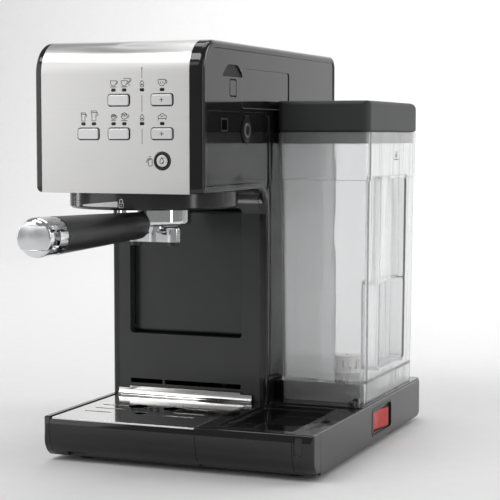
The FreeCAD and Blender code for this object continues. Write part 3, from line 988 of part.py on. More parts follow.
def make_tank():
    """Clear tank with a raised floor over the inlet boss and a hand recess in its outer side."""
    rim_z = TANK_Z + TANK_H
    step_z = rim_z - TANK_STEP_Z
    outer = join(tank_box(-TANK_STEP, TANK_Z, rim_z), tank_box(0, step_z, rim_z))
    floor_z = TANK_Z + TANK_FLOOR_RISE
    inner = join(tank_box(-TANK_STEP - TANK_WALL, floor_z, rim_z + 1), tank_box(-TANK_WALL, step_z, rim_z + 1))
    under = tank_box(-TANK_STEP - TANK_WALL, TANK_Z - 1, floor_z - TANK_WALL)
    web_x0, web_x1 = TANK_X - 1, TANK_X + TANK_W + 1
    web_y0, web_y1 = BOSS_Y1 + WEB_SET, TANK_Y + TANK_D + 1
    web_z0, web_z1 = floor_z - TANK_WALL - WEB_H, floor_z - TANK_WALL + WEB_T / 2
    webs = [block(web_x0, web_x1, y, y + WEB_T, web_z0, web_z1) for y in (web_y0, (web_y0 + TANK_Y + TANK_D) / 2)]
    webs += [block(x, x + WEB_T, web_y0, web_y1, web_z0, web_z1)
             for x in (TANK_X + TANK_W / 3, TANK_X + TANK_W * 2 / 3)]
    webs = [web.common(tank_box(-TANK_STEP - TANK_WALL / 2, TANK_Z, floor_z)) for web in webs]
    body = join(outer.cut(inner).cut(under), *webs)
    # hand recess: a shallow upper pocket and a deeper lower one
    x_out = TANK_X + TANK_W
    y0, y1 = TANK_Y + GRIP_Y0, TANK_Y + GRIP_Y1
    ledge_z = TANK_Z + GRIP_LEDGE
    form = join(block(x_out - GRIP_SHALLOW, x_out + 5, y0, y1, ledge_z - 1, step_z, 4.0, "x"),
                block(x_out - GRIP_DEEP, x_out + 5, y0, y1, floor_z + 6, ledge_z, 4.0, "x"))
    skin = join(block(x_out - GRIP_SHALLOW - TANK_WALL, x_out - TANK_WALL, y0 - TANK_WALL, y1 + TANK_WALL,
                      ledge_z - 1, step_z + TANK_WALL, 5.0, "x"),
                block(x_out - GRIP_DEEP - TANK_WALL, x_out - TANK_WALL, y0 - TANK_WALL, y1 + TANK_WALL,
                      floor_z + 6 - TANK_WALL, ledge_z + TANK_WALL, 5.0, "x"))
    body = join(body, skin.common(outer)).cut(form)
    # skirt opening over the boss, valve neck
    notch = block(TANK_X - 5, TANK_X + TANK_WALL * 3, BOSS_Y0 - 2, BOSS_Y1 + 2, 0, floor_z - TANK_WALL).fuse(
        block(RAIL_X - 1, RAIL_X + RAIL_W + 1, 0, TANK_Y + TANK_D / 2, 0, BASE_H + PLATFORM_T + RAIL_H + 1))
    body = body.cut(notch).cut(rod(VALVE_X, VALVE_Y, floor_z - TANK_WALL - 1, NECK_R - 2, 10))
    neck = tube(VALVE_X, VALVE_Y, NECK_Z, NECK_R, NECK_R - 2, floor_z - NECK_Z - 0.5)
    bridge = block(VALVE_X - NECK_R + 1, VALVE_X + NECK_R - 1, VALVE_Y - 1.2, VALVE_Y + 1.2, NECK_Z + 1, NECK_Z + 3)
    eye = rod(VALVE_X, VALVE_Y, NECK_Z + 1, 3.2, 3)
    body = join(body, neck, bridge, eye).cut(rod(VALVE_X, VALVE_Y, 0, VALVE_STEM_R + 0.1, floor_z + 1))
    pin_z, pin_y = rim_z + LID_PIN_UP, TANK_Y + TANK_D + LID_PIN_BACK
    lugs = []
    for x in (HINGE_X0 - LUG_W, HINGE_X1):
        lugs.append(prism([(TANK_Y + TANK_D - 1, rim_z - 12, 0), (pin_y + LUG_ROUND, pin_z - 5, 1.0),
                           (pin_y + LUG_ROUND, pin_z + LUG_ROUND, LUG_ROUND - 0.1),
                           (pin_y - LUG_ROUND, pin_z + LUG_ROUND, LUG_ROUND - 0.1),
                           (pin_y - LUG_ROUND, rim_z - 1, 0), (TANK_Y + TANK_D - 1, rim_z - 1, 0)], "x", x, x + LUG_W))
    lid_pin = rod(HINGE_X0 - LUG_W / 2, pin_y, pin_z, LID_PIN_R, HINGE_X1 - HINGE_X0 + LUG_W, "x")
    nodes["water_tank"] = join(body, *lugs, lid_pin)

    nodes["tank_valve"] = turned([(0, NECK_Z - 0.9), (VALVE_STEM_R, NECK_Z - 0.9), (VALVE_STEM_R, floor_z + 0.35),
                                  (NECK_R - 0.2, floor_z + 0.35), (NECK_R - 0.2, floor_z + 1.6),
                                  (3, floor_z + 3.2), (0, floor_z + 3.2)], VALVE_X, VALVE_Y, 0)
    mesh = tube(VALVE_X, VALVE_Y, floor_z, NECK_R + 3, NECK_R + 2, FILTER_H)
    cap = tube(VALVE_X, VALVE_Y, floor_z + FILTER_H - 1, NECK_R + 3, 2, 1)
    slots = [block(-1.2, 1.2, 0, FAR, floor_z + 3, floor_z + FILTER_H - 3).rotated(V(0, 0, 0), V(0, 0, 1), a)
             .translated(V(VALVE_X, VALVE_Y, 0)) for a in range(0, 360, 30)]
    nodes["tank_filter"] = join(mesh, cap).cut(Part.makeCompound(slots))
    make_lid(rim_z)


def make_lid(rim_z):
    """Dark lid: flat top, rounded rear, a skirt that hangs inside the clear rim, and a finger tab behind."""
    x0, x1 = TANK_X, TANK_X + TANK_W
    y0, y1 = TANK_Y, TANK_Y + TANK_D
    low, high = rim_z + 0.3, rim_z + LID_H

    def side_form(inset, bottom):
        corners = [(y0 + inset, bottom, 0), (y0 + inset, high - inset, LID_EDGE_R),
                   (y1 - inset, high - inset, LID_REAR_R - inset), (y1 - inset, bottom, 0)]
        form = prism(corners, "x", x0 + inset, x1 - inset)
        plan = block(x0 + inset, x1 - inset, y0 + inset, y1 - inset, bottom - 1, high + 1, TANK_R - inset)
        across = prism([(x0 + inset, bottom - 1, 0), (x0 + inset, high - inset, LID_EDGE_R - inset / 2),
                        (x1 - inset, high - inset, LID_EDGE_R - inset / 2), (x1 - inset, bottom - 1, 0)],
                       "y", y0 - 1, y1 + 1)
        return form.common(plan).common(across)

    shell = side_form(0, low + LID_LINE)
    shell = shell.cut(side_form(LID_WALL, low - 5))
    gap = TANK_WALL + 1.3
    skirt_top = low + 2 * LID_LINE
    outer = block(x0 + gap, x1 - gap, y0 + gap, y1 - gap, rim_z - LID_SKIRT, skirt_top, TANK_R - 3)
    inner = block(x0 + gap + LID_WALL, x1 - gap - LID_WALL, y0 + gap + LID_WALL, y1 - gap - LID_WALL,
                  rim_z - LID_SKIRT - 1, skirt_top + 1, TANK_R - 4)
    flange = block(x0 + LID_LINE, x1 - LID_LINE, y0 + LID_LINE, y1 - LID_LINE, low, skirt_top, TANK_R - LID_LINE)
    skirt = join(outer, flange).cut(inner)
    pin_z, pin_y = rim_z + LID_PIN_UP, y1 + LID_PIN_BACK
    knuckle = rod(HINGE_X0 + RUN, pin_y, pin_z, LUG_ROUND, HINGE_X1 - HINGE_X0 - 2 * RUN, "x")
    web = block(HINGE_X0 + RUN, HINGE_X1 - RUN, y1 - 1, pin_y, low, pin_z + LUG_ROUND)
    lid = join(shell, skirt, knuckle, web)
    nodes["tank_lid"] = lid.cut(rod(HINGE_X0, pin_y, pin_z, LID_PIN_R + PIN_PLAY, HINGE_X1 - HINGE_X0, "x"))


# ---------------------------------------------------------------- power switch, cord gland, screws
def switch_hole():
    return block(BASE_W - BASE_WALL - 1, BASE_W + 1, SURROUND_Y0, SURROUND_Y1, SURROUND_Z0, SURROUND_Z1, SURROUND_R,
                 "x")


def make_switch():
    """Recessed surround on the right side and the lit rocker in it."""
    y0, y1, z0, z1 = SURROUND_Y0 + FIT, SURROUND_Y1 - FIT, SURROUND_Z0 + FIT, SURROUND_Z1 - FIT
    plug = block(SWITCH_BACK_X, BASE_W + 0.3, y0, y1, z0, z1, SURROUND_R - FIT, "x")
    dish = block(BASE_W - SWITCH_SINK, BASE_W + 1, y0 + 1.4, y1 - 1.4, z0 + 1.4, z1 - 1.4, SURROUND_R - 1.6, "x")
    well = block(SWITCH_BACK_X + 1.5, BASE_W + 2, SWITCH_Y - SWITCH_L / 2 - 0.5, SWITCH_Y + SWITCH_L / 2 + 0.5,
                 SWITCH_Z - SWITCH_H / 2, SWITCH_Z + SWITCH_H / 2, 0.8, "x")
    surround = plug.cut(dish).cut(well)
    bearing = rod(PIVOT_X, SWITCH_Y, SWITCH_Z - SWITCH_H / 2 - 1.2, ROCKER_PIN_R + PIN_PLAY, SWITCH_H + 2.4)
    nodes["switch_surround"] = surround.cut(bearing)

    half = SWITCH_L / 2
    tall = SWITCH_H / 2 - 0.4
    crown = prism([(PIVOT_X - 4.5, SWITCH_Y - half + 1, 0), (PIVOT_X + ROCKER_RISE, SWITCH_Y - half + 0.6, 0),
                   (PIVOT_X + ROCKER_RISE - 1.6, SWITCH_Y, 60.0),
                   (PIVOT_X + ROCKER_RISE, SWITCH_Y + half - 0.6, 0),
                   (PIVOT_X - 4.5, SWITCH_Y + half - 1, 0)], "z", SWITCH_Z - tall, SWITCH_Z + tall)
    crown = crown.common(rod(PIVOT_X, SWITCH_Y, 0, half, FAR))
    pin = rod(PIVOT_X, SWITCH_Y, SWITCH_Z - tall - 1.4, ROCKER_PIN_R, 2 * tall + 2.8)
    rocker = join(crown, pin)
    rocker.rotate(V(PIVOT_X, SWITCH_Y, 0), V(0, 0, 1), -ROCK)
    nodes["power_rocker"] = rocker


def make_gland_and_screws():
    """Empty cord gland in the rear wall, and the screws of the rear cover and bottom plate."""
    y0 = BASE_D - BASE_WALL - 4
    gland = turned([(3.4, 0), (CORD_HOLE_R - FIT, 0), (CORD_HOLE_R - FIT, 4 + BASE_WALL), (9, 4 + BASE_WALL),
                    (8, 7.5 + BASE_WALL), (3.4, 7.5 + BASE_WALL)], CORD_X, y0, CORD_Z, "y")
    nodes["cord_gland"] = gland
    screws = []
    for x, z in rear_screws():
        screw = turned([(0, 0), (SCREW_R, 0), (SCREW_R, 8), (3.2, 8), (3.2, 9.0), (2.2, 9.8), (0, 9.8)],
                       x, BASE_D - 8, z, "y")
        screws.append(screw.cut(block(x - 2, x + 2, BASE_D + 0.9, FAR, z - 0.4, z + 0.4)))
    nodes["cover_screws"] = Part.makeCompound(screws)


def export():
    """Move the datum to the bottom centre of the whole object's box and write one file per node."""
    whole = Part.makeCompound(list(nodes.values())).optimalBoundingBox(False)
    shift = V(-(whole.XMin + whole.XMax) / 2, -(whole.YMin + whole.YMax) / 2, -whole.ZMin)
    os.makedirs("parts", exist_ok=True)
    for name, shape in nodes.items():
        placed = shape.translated(shift)
        placed.exportStep("parts/" + name + ".step")
        print(f"{name}: {len(placed.Solids)} solid(s), {placed.Volume / 1000:.2f} cm3, valid {placed.isValid()}")
    print(f"nodes {len(nodes)}, shift {shift.x:.3f} {shift.y:.3f} {shift.z:.3f}")


make_base()
make_corner()
make_dock()
make_platform()
make_tower()
make_group()
make_water_path()
make_portafilter()
make_tray()
make_tank()
make_switch()
make_gland_and_screws()
export()
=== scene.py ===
"""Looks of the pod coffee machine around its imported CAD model, piece by piece as it is put together.

Lengths are metres in the row frame: X across the machine, +Y to its back, Z up from the counter. MM turns the
machine's drawing sizes, which are millimetres, into metres.
"""
import math

import bpy
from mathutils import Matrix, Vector


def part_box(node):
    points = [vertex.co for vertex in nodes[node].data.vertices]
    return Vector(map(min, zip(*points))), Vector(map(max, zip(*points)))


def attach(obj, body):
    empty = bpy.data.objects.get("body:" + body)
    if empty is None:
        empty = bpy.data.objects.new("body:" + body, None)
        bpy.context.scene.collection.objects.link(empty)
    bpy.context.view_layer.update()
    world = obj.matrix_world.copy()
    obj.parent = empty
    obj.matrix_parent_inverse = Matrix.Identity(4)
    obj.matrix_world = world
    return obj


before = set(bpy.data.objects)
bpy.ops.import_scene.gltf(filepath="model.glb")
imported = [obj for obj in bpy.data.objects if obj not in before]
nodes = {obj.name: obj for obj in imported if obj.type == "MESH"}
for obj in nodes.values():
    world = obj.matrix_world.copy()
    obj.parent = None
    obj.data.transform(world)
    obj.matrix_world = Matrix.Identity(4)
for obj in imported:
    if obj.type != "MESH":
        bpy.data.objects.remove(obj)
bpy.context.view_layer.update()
bpy.ops.object.select_all(action="DESELECT")

# ------------------------------------------------------------------ camera
# A long lens in front of the machine and to its right, a little above the middle of the head.
VIEW_FROM = (0.46885, -1.09725, 0.249)
VIEW_TURN = 21.84         # degrees from straight ahead
VIEW_DOWN = 4.23          # degrees below level
LENS = 110.0
SENSOR = 36.0

bpy.ops.object.camera_add(location=VIEW_FROM,
                          rotation=(math.radians(90 - VIEW_DOWN), 0, math.radians(VIEW_TURN)))
camera = bpy.context.object
camera.data.lens = LENS
camera.data.sensor_width = SENSOR
bpy.context.scene.camera = camera

# ------------------------------------------------------------------ floor and studio
# A pale sweep: a flat floor that curves up into a wall far behind, lit by large soft panels.
MM = 0.001                # a millimetre, in metres


class Socket:
    """An output in a material's node tree. Arithmetic on it adds Math nodes."""

    def __init__(self, finish, output):
        self.finish, self.output = finish, output

    def math(self, operation, *values):
        return self.finish.node("ShaderNodeMath", {"operation": operation}, dict(enumerate(values)))

    def __add__(self, other):
        return self.math("ADD", self, other)

    def __sub__(self, other):
        return self.math("SUBTRACT", self, other)

    def __rsub__(self, other):
        return self.math("SUBTRACT", other, self)

    def __mul__(self, other):
        return self.math("MULTIPLY", self, other)

    def __pow__(self, other):
        return self.math("POWER", self, other)

    def __abs__(self):
        return self.math("ABSOLUTE", self)

    __radd__, __rmul__ = __add__, __mul__


class Finish:
    """A surface finish built from nodes round one Principled shader."""

    def __init__(self, name, **sockets):
        self.material = bpy.data.materials.new(name)
        self.material.use_nodes = True
        self.tree = self.material.node_tree
        self.shader = self.tree.nodes["Principled BSDF"]
        self.set(**{key.replace("_", " "): value for key, value in sockets.items()})

    def feed(self, socket, value):
        if isinstance(value, Socket):
            self.tree.links.new(value.output, socket)
        else:
            socket.default_value = value

    def set(self, **sockets):
        for name, value in sockets.items():
            self.feed(self.shader.inputs[name], value)

    def node(self, kind, settings=None, sockets=None, out=0):
        """Adds a node: its settings first, then the values or links of its sockets."""
        made = self.tree.nodes.new(kind)
        for name, value in (settings or {}).items():
            setattr(made, name, value)
        for key, value in (sockets or {}).items():
            self.feed(made.inputs[key], value)
        return Socket(self, made.outputs[out])

    def place(self, stretch=(1, 1, 1)):
        """The piece's own coordinates, stretched."""
        own = self.node("ShaderNodeTexCoord", out="Object")
        return self.node("ShaderNodeMapping", None, {"Vector": own, "Scale": stretch})

    def noise(self, scale, detail=2.0, stretch=(1, 1, 1), roughness=0.5):
        return self.node("ShaderNodeTexNoise", None, {"Vector": self.place(stretch), "Scale": scale,
                                                      "Detail": detail, "Roughness": roughness})

    def own(self, axis):
        """The piece's own X, Y or Z, in metres."""
        spot = self.node("ShaderNodeTexCoord", out="Object")
        return self.node("ShaderNodeSeparateXYZ", None, {"Vector": spot}, out="XYZ".index(axis))

    def step(self, value, low, high):
        """0 below low, 1 above high, and a smooth rise between them."""
        return self.node("ShaderNodeMapRange", {"interpolation_type": "SMOOTHSTEP"},
                         {"Value": value, "From Min": low, "From Max": high})

    def blend(self, factor, first, second):
        """A colour between two colours."""
        return self.node("ShaderNodeMix", {"data_type": "RGBA"}, {0: factor, 6: first, 7: second}, out=2)

    def bump(self, height, distance, edge=0.0):
        """Relief of this height map, over edges that look rounded to the radius given."""
        sockets = {"Height": height, "Distance": distance}
        if edge:
            sockets["Normal"] = self.node("ShaderNodeBevel", {"samples": 4}, {"Radius": edge})
        return self.node("ShaderNodeBump", None, sockets)


def grey(level, warmth=0.0):
    """A neutral colour, a little warm or cold."""
    return (level * (1 + warmth), level, level * (1 - warmth), 1)


SWEEP_FRONT, SWEEP_BACK, SWEEP_WIDE, SWEEP_HIGH = -3.0, 2.6, 3.0, 2.6
SWEEP_BEND, BEND_STEPS = 1.0, 24
STUDIO_LIGHT = 0.28       # strength of the even light from all round

floor_finish = Finish("studio_paper", Roughness=0.75)
fibre = floor_finish.noise(60.0, 4.0)
floor_finish.set(**{"Base Color": floor_finish.blend(fibre, grey(0.80), grey(0.84)),
                    "Normal": floor_finish.bump(floor_finish.noise(900.0), 0.1 * MM)})

bpy.ops.mesh.primitive_plane_add(size=1, location=(0, 0, 0))
sweep = bpy.context.object
sweep.name = "floor_sweep"
bpy.ops.object.mode_set(mode="EDIT")
bpy.ops.transform.resize(value=(2 * SWEEP_WIDE, SWEEP_BACK - SWEEP_FRONT, 1))
bpy.ops.transform.translate(value=(0, (SWEEP_BACK + SWEEP_FRONT) / 2, 0))
bpy.ops.mesh.select_all(action="DESELECT")
bpy.ops.mesh.select_mode(type="EDGE")
bpy.ops.object.mode_set(mode="OBJECT")
for edge in sweep.data.edges:
    edge.select = all(sweep.data.vertices[i].co.y > SWEEP_BACK - MM for i in edge.vertices)
bpy.ops.object.mode_set(mode="EDIT")
bpy.ops.mesh.extrude_edges_move(TRANSFORM_OT_translate={"value": (0, 0, SWEEP_HIGH)})
bpy.ops.object.mode_set(mode="OBJECT")
bend = sweep.modifiers.new("bend", "BEVEL")
bend.width, bend.segments, bend.limit_method = SWEEP_BEND, BEND_STEPS, "ANGLE"
bpy.ops.object.modifier_apply(modifier="bend")
bpy.ops.object.shade_smooth()
sweep.data.materials.append(floor_finish.material)

world = bpy.data.worlds.new("studio")
world.use_nodes = True
surround = world.node_tree.nodes["Background"].inputs
surround["Color"].default_value = grey(0.9)
surround["Strength"].default_value = STUDIO_LIGHT
bpy.context.scene.world = world
bpy.context.scene.view_settings.view_transform = "Standard"


def panel(name, place, aim, size, power, spread=180):
    """A soft rectangular lamp at a place, facing a point. It shows in gloss, and not to the camera."""
    bpy.ops.object.light_add(type="AREA", location=place)
    lamp = bpy.context.object
    lamp.name = name
    lamp.data.shape = "RECTANGLE"
    lamp.data.size, lamp.data.size_y = size
    lamp.data.energy = power
    lamp.data.spread = math.radians(spread)
    lamp.rotation_mode = "QUATERNION"
    lamp.rotation_quaternion = (Vector(aim) - Vector(place)).to_track_quat("-Z", "Y")
    lamp.visible_camera = False


panel("front_panel", (-1.95, -1.7, 0.95), (0, 0, 0.3), (2.2, 1.9), 18)
panel("key_panel", (-0.45, -0.8, 1.35), (0, -0.02, 0.15), (0.8, 0.5), 7.5)
panel("side_panel", (1.35, 0.9, 0.9), (0, 0.05, 0.15), (0.7, 0.9), 8)
panel("right_strip", (1.6, -0.35, 0.6), (0, 0, 0.2), (0.2, 1.1), 3)
panel("left_strip", (-1.6, 0.25, 0.6), (0, 0, 0.2), (0.2, 1.1), 3)
panel("top_panel", (-0.1, 0.5, 1.8), (0, 0.05, 0), (1.2, 1.0), 8)
panel("backdrop_panel", (0, 1.2, 2.3), (0, 2.6, 0.7), (3.0, 0.5), 34, 140)


# ------------------------------------------------------------------ gloss black mouldings
# Base, dock, tower rim and side panels: injection-moulded black plastic from polished tools, screwed and
# clipped together. Its gloss is deep, with the faint waves and dust-fine specks of a moulded skin.
SOFT_EDGE = 0.45 * MM     # radius that a moulded edge looks rounded to
WAVE_DEPTH = 0.12 * MM    # relief of a moulded skin


def dress(finish, *names):
    """Gives CAD nodes this finish."""
    for name in names:
        for slot in nodes[name].material_slots:
            slot.material = finish.material


gloss_black = Finish("gloss_black", IOR=1.52)
waves = gloss_black.noise(22.0, 1.0)
specks = gloss_black.noise(2600.0, 2.0)
smudge = gloss_black.noise(45.0, 5.0, roughness=0.65)
gloss_black.set(**{"Base Color": gloss_black.blend(smudge, grey(0.006), grey(0.011)),
                   "Roughness": 0.03 + 0.05 * smudge,
                   "Normal": gloss_black.bump(waves * 0.9 + specks * 0.012, WAVE_DEPTH, SOFT_EDGE)})
dress(gloss_black, "base_shell", "corner_cap", "milk_dock", "tank_platform", "inlet_boss", "top_cover",
      "head_front", "left_panel", "drip_tray", "head_floor")

# The right panel is the same moulding, but the floors of the jug latch's hood and square line are left rough,
# so they stay black where the panel mirrors the room.
LATCH_FLOOR = 1.2 * MM    # deeper than this below the panel's face, the skin is rough
ROUGH_RISE = 0.1 * MM     # over which the gloss turns rough
latch_black = Finish("side_gloss_black", IOR=1.52)
rough_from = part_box("right_panel")[1].x - LATCH_FLOOR
deep = 1 - latch_black.step(latch_black.own("X"), rough_from - ROUGH_RISE, rough_from)
waves = latch_black.noise(22.0, 1.0)
smudge = latch_black.noise(45.0, 5.0, roughness=0.65)
latch_black.set(**{"Base Color": latch_black.blend(smudge, grey(0.006), grey(0.010)),
                   "Roughness": 0.03 + 0.05 * smudge + 0.62 * deep,
                   "Normal": latch_black.bump(waves * 0.9, WAVE_DEPTH, SOFT_EDGE)})
dress(latch_black, "right_panel")

# ------------------------------------------------------------------ column and cup shelf
# The column is one gloss moulding: a charcoal panel between black rims, with a fine groove along each rim.
# The cup shelf folds into it and is moulded in the same charcoal.
RIM_FACE = 6.2 * MM       # black rim on each side of the charcoal panel
RIM_BLUR = 0.2 * MM       # over which the charcoal turns black
GROOVE = 0.35 * MM        # half the groove's width

charcoal = Finish("charcoal_moulding", IOR=1.5)
grain = charcoal.noise(1400.0, 3.0)
cloud = charcoal.noise(30.0, 3.0)
charcoal.set(**{"Base Color": charcoal.blend(cloud, grey(0.026, -0.04), grey(0.036, -0.04)),
                "Roughness": 0.16 + 0.08 * cloud + 0.05 * grain,
                "Normal": charcoal.bump(grain * 0.05 + cloud * 0.8, WAVE_DEPTH, SOFT_EDGE)})
dress(charcoal, "cup_shelf")

column_low, column_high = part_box("column_front")
column_middle = (column_low.x + column_high.x) / 2
column_half = (column_high.x - column_low.x) / 2
column = Finish("column_moulding", IOR=1.5)
grain = column.noise(1400.0, 3.0)
cloud = column.noise(30.0, 3.0)
across = abs(column.own("X") - column_middle)
rim = column.step(across, column_half - RIM_FACE, column_half - RIM_FACE + RIM_BLUR)
from_groove = abs(across - (column_half - RIM_FACE))
groove = 1 - column.step(from_groove, 0.3 * GROOVE, GROOVE)
panel_colour = column.blend(cloud, grey(0.026, -0.04), grey(0.036, -0.04))
column.set(**{"Base Color": column.blend(rim, panel_colour, grey(0.008)),
              "Roughness": 0.16 + 0.08 * cloud - 0.11 * rim,
              "Normal": column.bump(cloud * 0.8 - groove * 3.0, WAVE_DEPTH, SOFT_EDGE)})
dress(column, "column_front")

# ------------------------------------------------------------------ satin black mouldings
# Rear cover, grip, switch surround and the small inserts have a fine spark-eroded grain.
satin_black = Finish("satin_black", IOR=1.5)
grain = satin_black.node("ShaderNodeTexVoronoi", None, {"Vector": satin_black.place(), "Scale": 1700.0})
cloud = satin_black.noise(40.0, 3.0)
satin_black.set(**{"Base Color": satin_black.blend(cloud, grey(0.014), grey(0.022)),
                   "Roughness": 0.27 + 0.10 * cloud,
                   "Normal": satin_black.bump(grain, 0.05 * MM, SOFT_EDGE)})
dress(satin_black, "rear_cover", "corner_insert", "clean_ring", "jug_sensor", "spout_tips", "handle_grip",
      "switch_surround", "bottom_plate", "steam_valve", "valve_seat")

# The skirt round the brew group is smooth dark grey, a little lighter than the tower.
skirt = Finish("skirt_grey", IOR=1.5)
cloud = skirt.noise(35.0, 3.0)
skirt.set(**{"Base Color": skirt.blend(cloud, grey(0.020), grey(0.028)), "Roughness": 0.12 + 0.08 * cloud,
             "Normal": skirt.bump(skirt.noise(28.0, 1.0), 0.1 * MM, SOFT_EDGE)})
dress(skirt, "group_skirt")

# The steam outlet's plate is black, and the ring round its bore is bare grey metal.
RING_BEGINS = 3.9 * MM, 4.1 * MM
RING_ENDS = 5.5 * MM, 5.8 * MM
outlet_low, outlet_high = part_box("steam_outlet")
outlet_y = (outlet_low.y + outlet_high.y) / 2
outlet_z = outlet_low.z + (outlet_high.y - outlet_low.y) / 2
outlet = Finish("outlet_plate", IOR=1.5)
off_y = outlet.own("Y") - outlet_y
off_z = outlet.own("Z") - outlet_z
radius = (off_y * off_y + off_z * off_z) ** 0.5
ring = (1 - outlet.step(radius, *RING_ENDS)) * outlet.step(radius, *RING_BEGINS)
cloud = outlet.noise(80.0, 3.0)
outlet.set(**{"Base Color": outlet.blend(ring, outlet.blend(cloud, grey(0.006), grey(0.012)), grey(0.34)),
              "Roughness": 0.25 + 0.1 * cloud, "Metallic": 0.8 * ring,
              "Normal": outlet.bump(cloud, 0.03 * MM, SOFT_EDGE)})
dress(outlet, "steam_outlet")

# ------------------------------------------------------------------ steel and chrome
# The fascia is brushed stainless sheet, the tray cover a finer polished sheet, and the filter holder,
# spout and handle cap are chromed castings.
CRISP_EDGE = 0.3 * MM     # radius that a metal edge looks rounded to

brushed = Finish("brushed_steel", Metallic=1.0, Anisotropic=0.6)
line = brushed.noise(1.0, 4.0, stretch=(25, 2600, 2600), roughness=0.7)
patch = brushed.noise(14.0, 2.0)
brushed.set(**{"Base Color": brushed.blend(line * 0.6 + patch * 0.4, grey(0.66, 0.008), grey(0.80, 0.006)),
               "Roughness": 0.27 + 0.12 * line,
               "Normal": brushed.bump(line, 0.01 * MM, CRISP_EDGE)})
dress(brushed, "steel_fascia")

polished = Finish("polished_steel", Metallic=1.0)
line = polished.noise(1.0, 3.0, stretch=(1900, 18, 1900), roughness=0.6)
polished.set(**{"Base Color": polished.blend(line, grey(0.70, 0.01), grey(0.82, 0.01)),
                "Roughness": 0.05 + 0.09 * line,
                "Normal": polished.bump(line, 0.004 * MM, CRISP_EDGE)})
dress(polished, "tray_cover", "filter_basket", "shower_screen", "screen_screw")

chrome = Finish("bright_chrome", Metallic=1.0)
haze = chrome.noise(120.0, 4.0)
chrome.set(**{"Base Color": chrome.blend(haze, grey(0.76, -0.01), grey(0.84, -0.01)),
              "Roughness": 0.03 + 0.05 * haze,
              "Normal": chrome.bump(chrome.noise(60.0, 1.0), 0.03 * MM, CRISP_EDGE)})
dress(chrome, "portafilter_body", "twin_spout", "handle_collar", "handle_cap")

# ------------------------------------------------------------------ buttons
# Each button is moulded in black and has a satin silver face, which ends a little behind its front.
FACE_ENDS = 0.5 * MM, 0.65 * MM

for name in [name for name in nodes if name.startswith("button_")]:
    face_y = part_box(name)[0].y
    silver = Finish(name + "_silver")
    flake = silver.noise(3500.0, 2.0)
    body = silver.step(silver.own("Y"), face_y + FACE_ENDS[0], face_y + FACE_ENDS[1])
    silver.set(**{"Base Color": silver.blend(body, silver.blend(flake, grey(0.66), grey(0.78)), grey(0.01)),
                  "Metallic": 0.85 - 0.85 * body,
                  "Roughness": 0.28 + 0.10 * flake,
                  "Normal": silver.bump(flake, 0.008 * MM, CRISP_EDGE)})
    dress(silver, name)

# ------------------------------------------------------------------ printed signs
# Dark grey ink on the fascia shows what each key makes: cups, glasses, froth and water. They are line
# drawings without words, printed as thin beads of ink that stand a little off the steel.
INK_WIDTH = 0.42 * MM     # half the width of a stroke's bead
INK_SUNK = 0.27 * MM      # centre of the bead below the surface
ARC_STEPS = 10

dark_ink = Finish("dark_ink", IOR=1.45)
dark_ink.set(**{"Base Color": dark_ink.blend(dark_ink.noise(700.0), grey(0.012), grey(0.024)),
                "Roughness": 0.4 + 0.1 * dark_ink.noise(300.0)})


def printed(name, strokes, finish, body, width=INK_WIDTH):
    """Beads of ink along strokes, which are lists of points in space."""
    bpy.ops.object.select_all(action="DESELECT")
    bpy.ops.object.add(type="CURVE")
    piece = bpy.context.object
    drawing = piece.data
    piece.name = drawing.name = name
    drawing.dimensions = "3D"
    drawing.bevel_depth, drawing.bevel_resolution, drawing.use_fill_caps = width, 1, True
    for stroke in strokes:
        line = drawing.splines.new("POLY")
        line.points.add(len(stroke) - 1)
        for point, spot in zip(line.points, stroke):
            point.co = (*spot, 1)
    bpy.ops.object.convert(target="MESH")
    piece.data.materials.append(finish.material)
    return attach(piece, body)


def arc(x, z, radius, start, end, tall=1.0):
    """Points along part of a circle; angles are in degrees from the right, and tall stretches it upwards."""
    turns = [math.radians(start + (end - start) * k / ARC_STEPS) for k in range(ARC_STEPS + 1)]
    return [(x + radius * math.cos(turn), z + tall * radius * math.sin(turn)) for turn in turns]


def moved(strokes, x, z, scale=1.0):
    """Strokes enlarged about their own middle, then moved there."""
    return [[(x + scale * a, z + scale * b) for a, b in stroke] for stroke in strokes]


# millimetres about the middle of each sign
cup = [[(-2.4, 1.9), (2.4, 1.9), (2.2, -0.2), (1.1, -1.8), (-1.1, -1.8), (-2.2, -0.2), (-2.4, 1.9)],
       arc(2.3, 0.7, 1.1, 80, -80), [(-2.5, -2.6), (2.5, -2.6)]]
second_cup = [[(-0.2, 3.1), (0.2, 3.6), (4.6, 3.6), (4.4, 1.2), (3.6, 0)], arc(4.6, 2.3, 1.1, 80, -80),
              [(3.4, -1.2), (4.9, -1.2)]]
glass = [[(-1.9, 3.0), (1.9, 3.0), (1.3, -0.4), (1.4, -3.0), (-1.4, -3.0), (-1.3, -0.4), (-1.9, 3.0)],
         arc(1.6, 1.0, 1.2, 70, -80), [(-1.7, 2.0), (1.6, 2.0)]]
frothed_cup = [arc(0, 0.3, 2.3, 180, 360, 0.9) + [(-2.3, 0.3)], arc(0, 0.5, 2.2, 165, 15, 0.85),
               arc(-0.8, 0.6, 0.9, 180, 0), arc(1.0, 0.6, 0.9, 180, 0), arc(2.3, 0.2, 1.1, 80, -80),
               [(-2.3, -2.7), (2.3, -2.7)]]
wide_cup = [[(-3.2, 1.9), (-2.9, -0.2), (-1.6, -2.0), (1.2, -2.0), (2.5, -0.2), (2.8, 1.9)],
            arc(-1.9, 1.9, 1.2, 180, 0, 0.6), arc(0.4, 1.9, 1.1, 180, 0, 0.6),
            arc(2.0, 1.9, 0.8, 180, 0, 0.6), arc(2.7, 0.7, 1.2, 80, -80),
            [(-1.5, 0.6), (-0.6, -0.6)], [(0.4, 0.7), (1.0, -0.5)]]
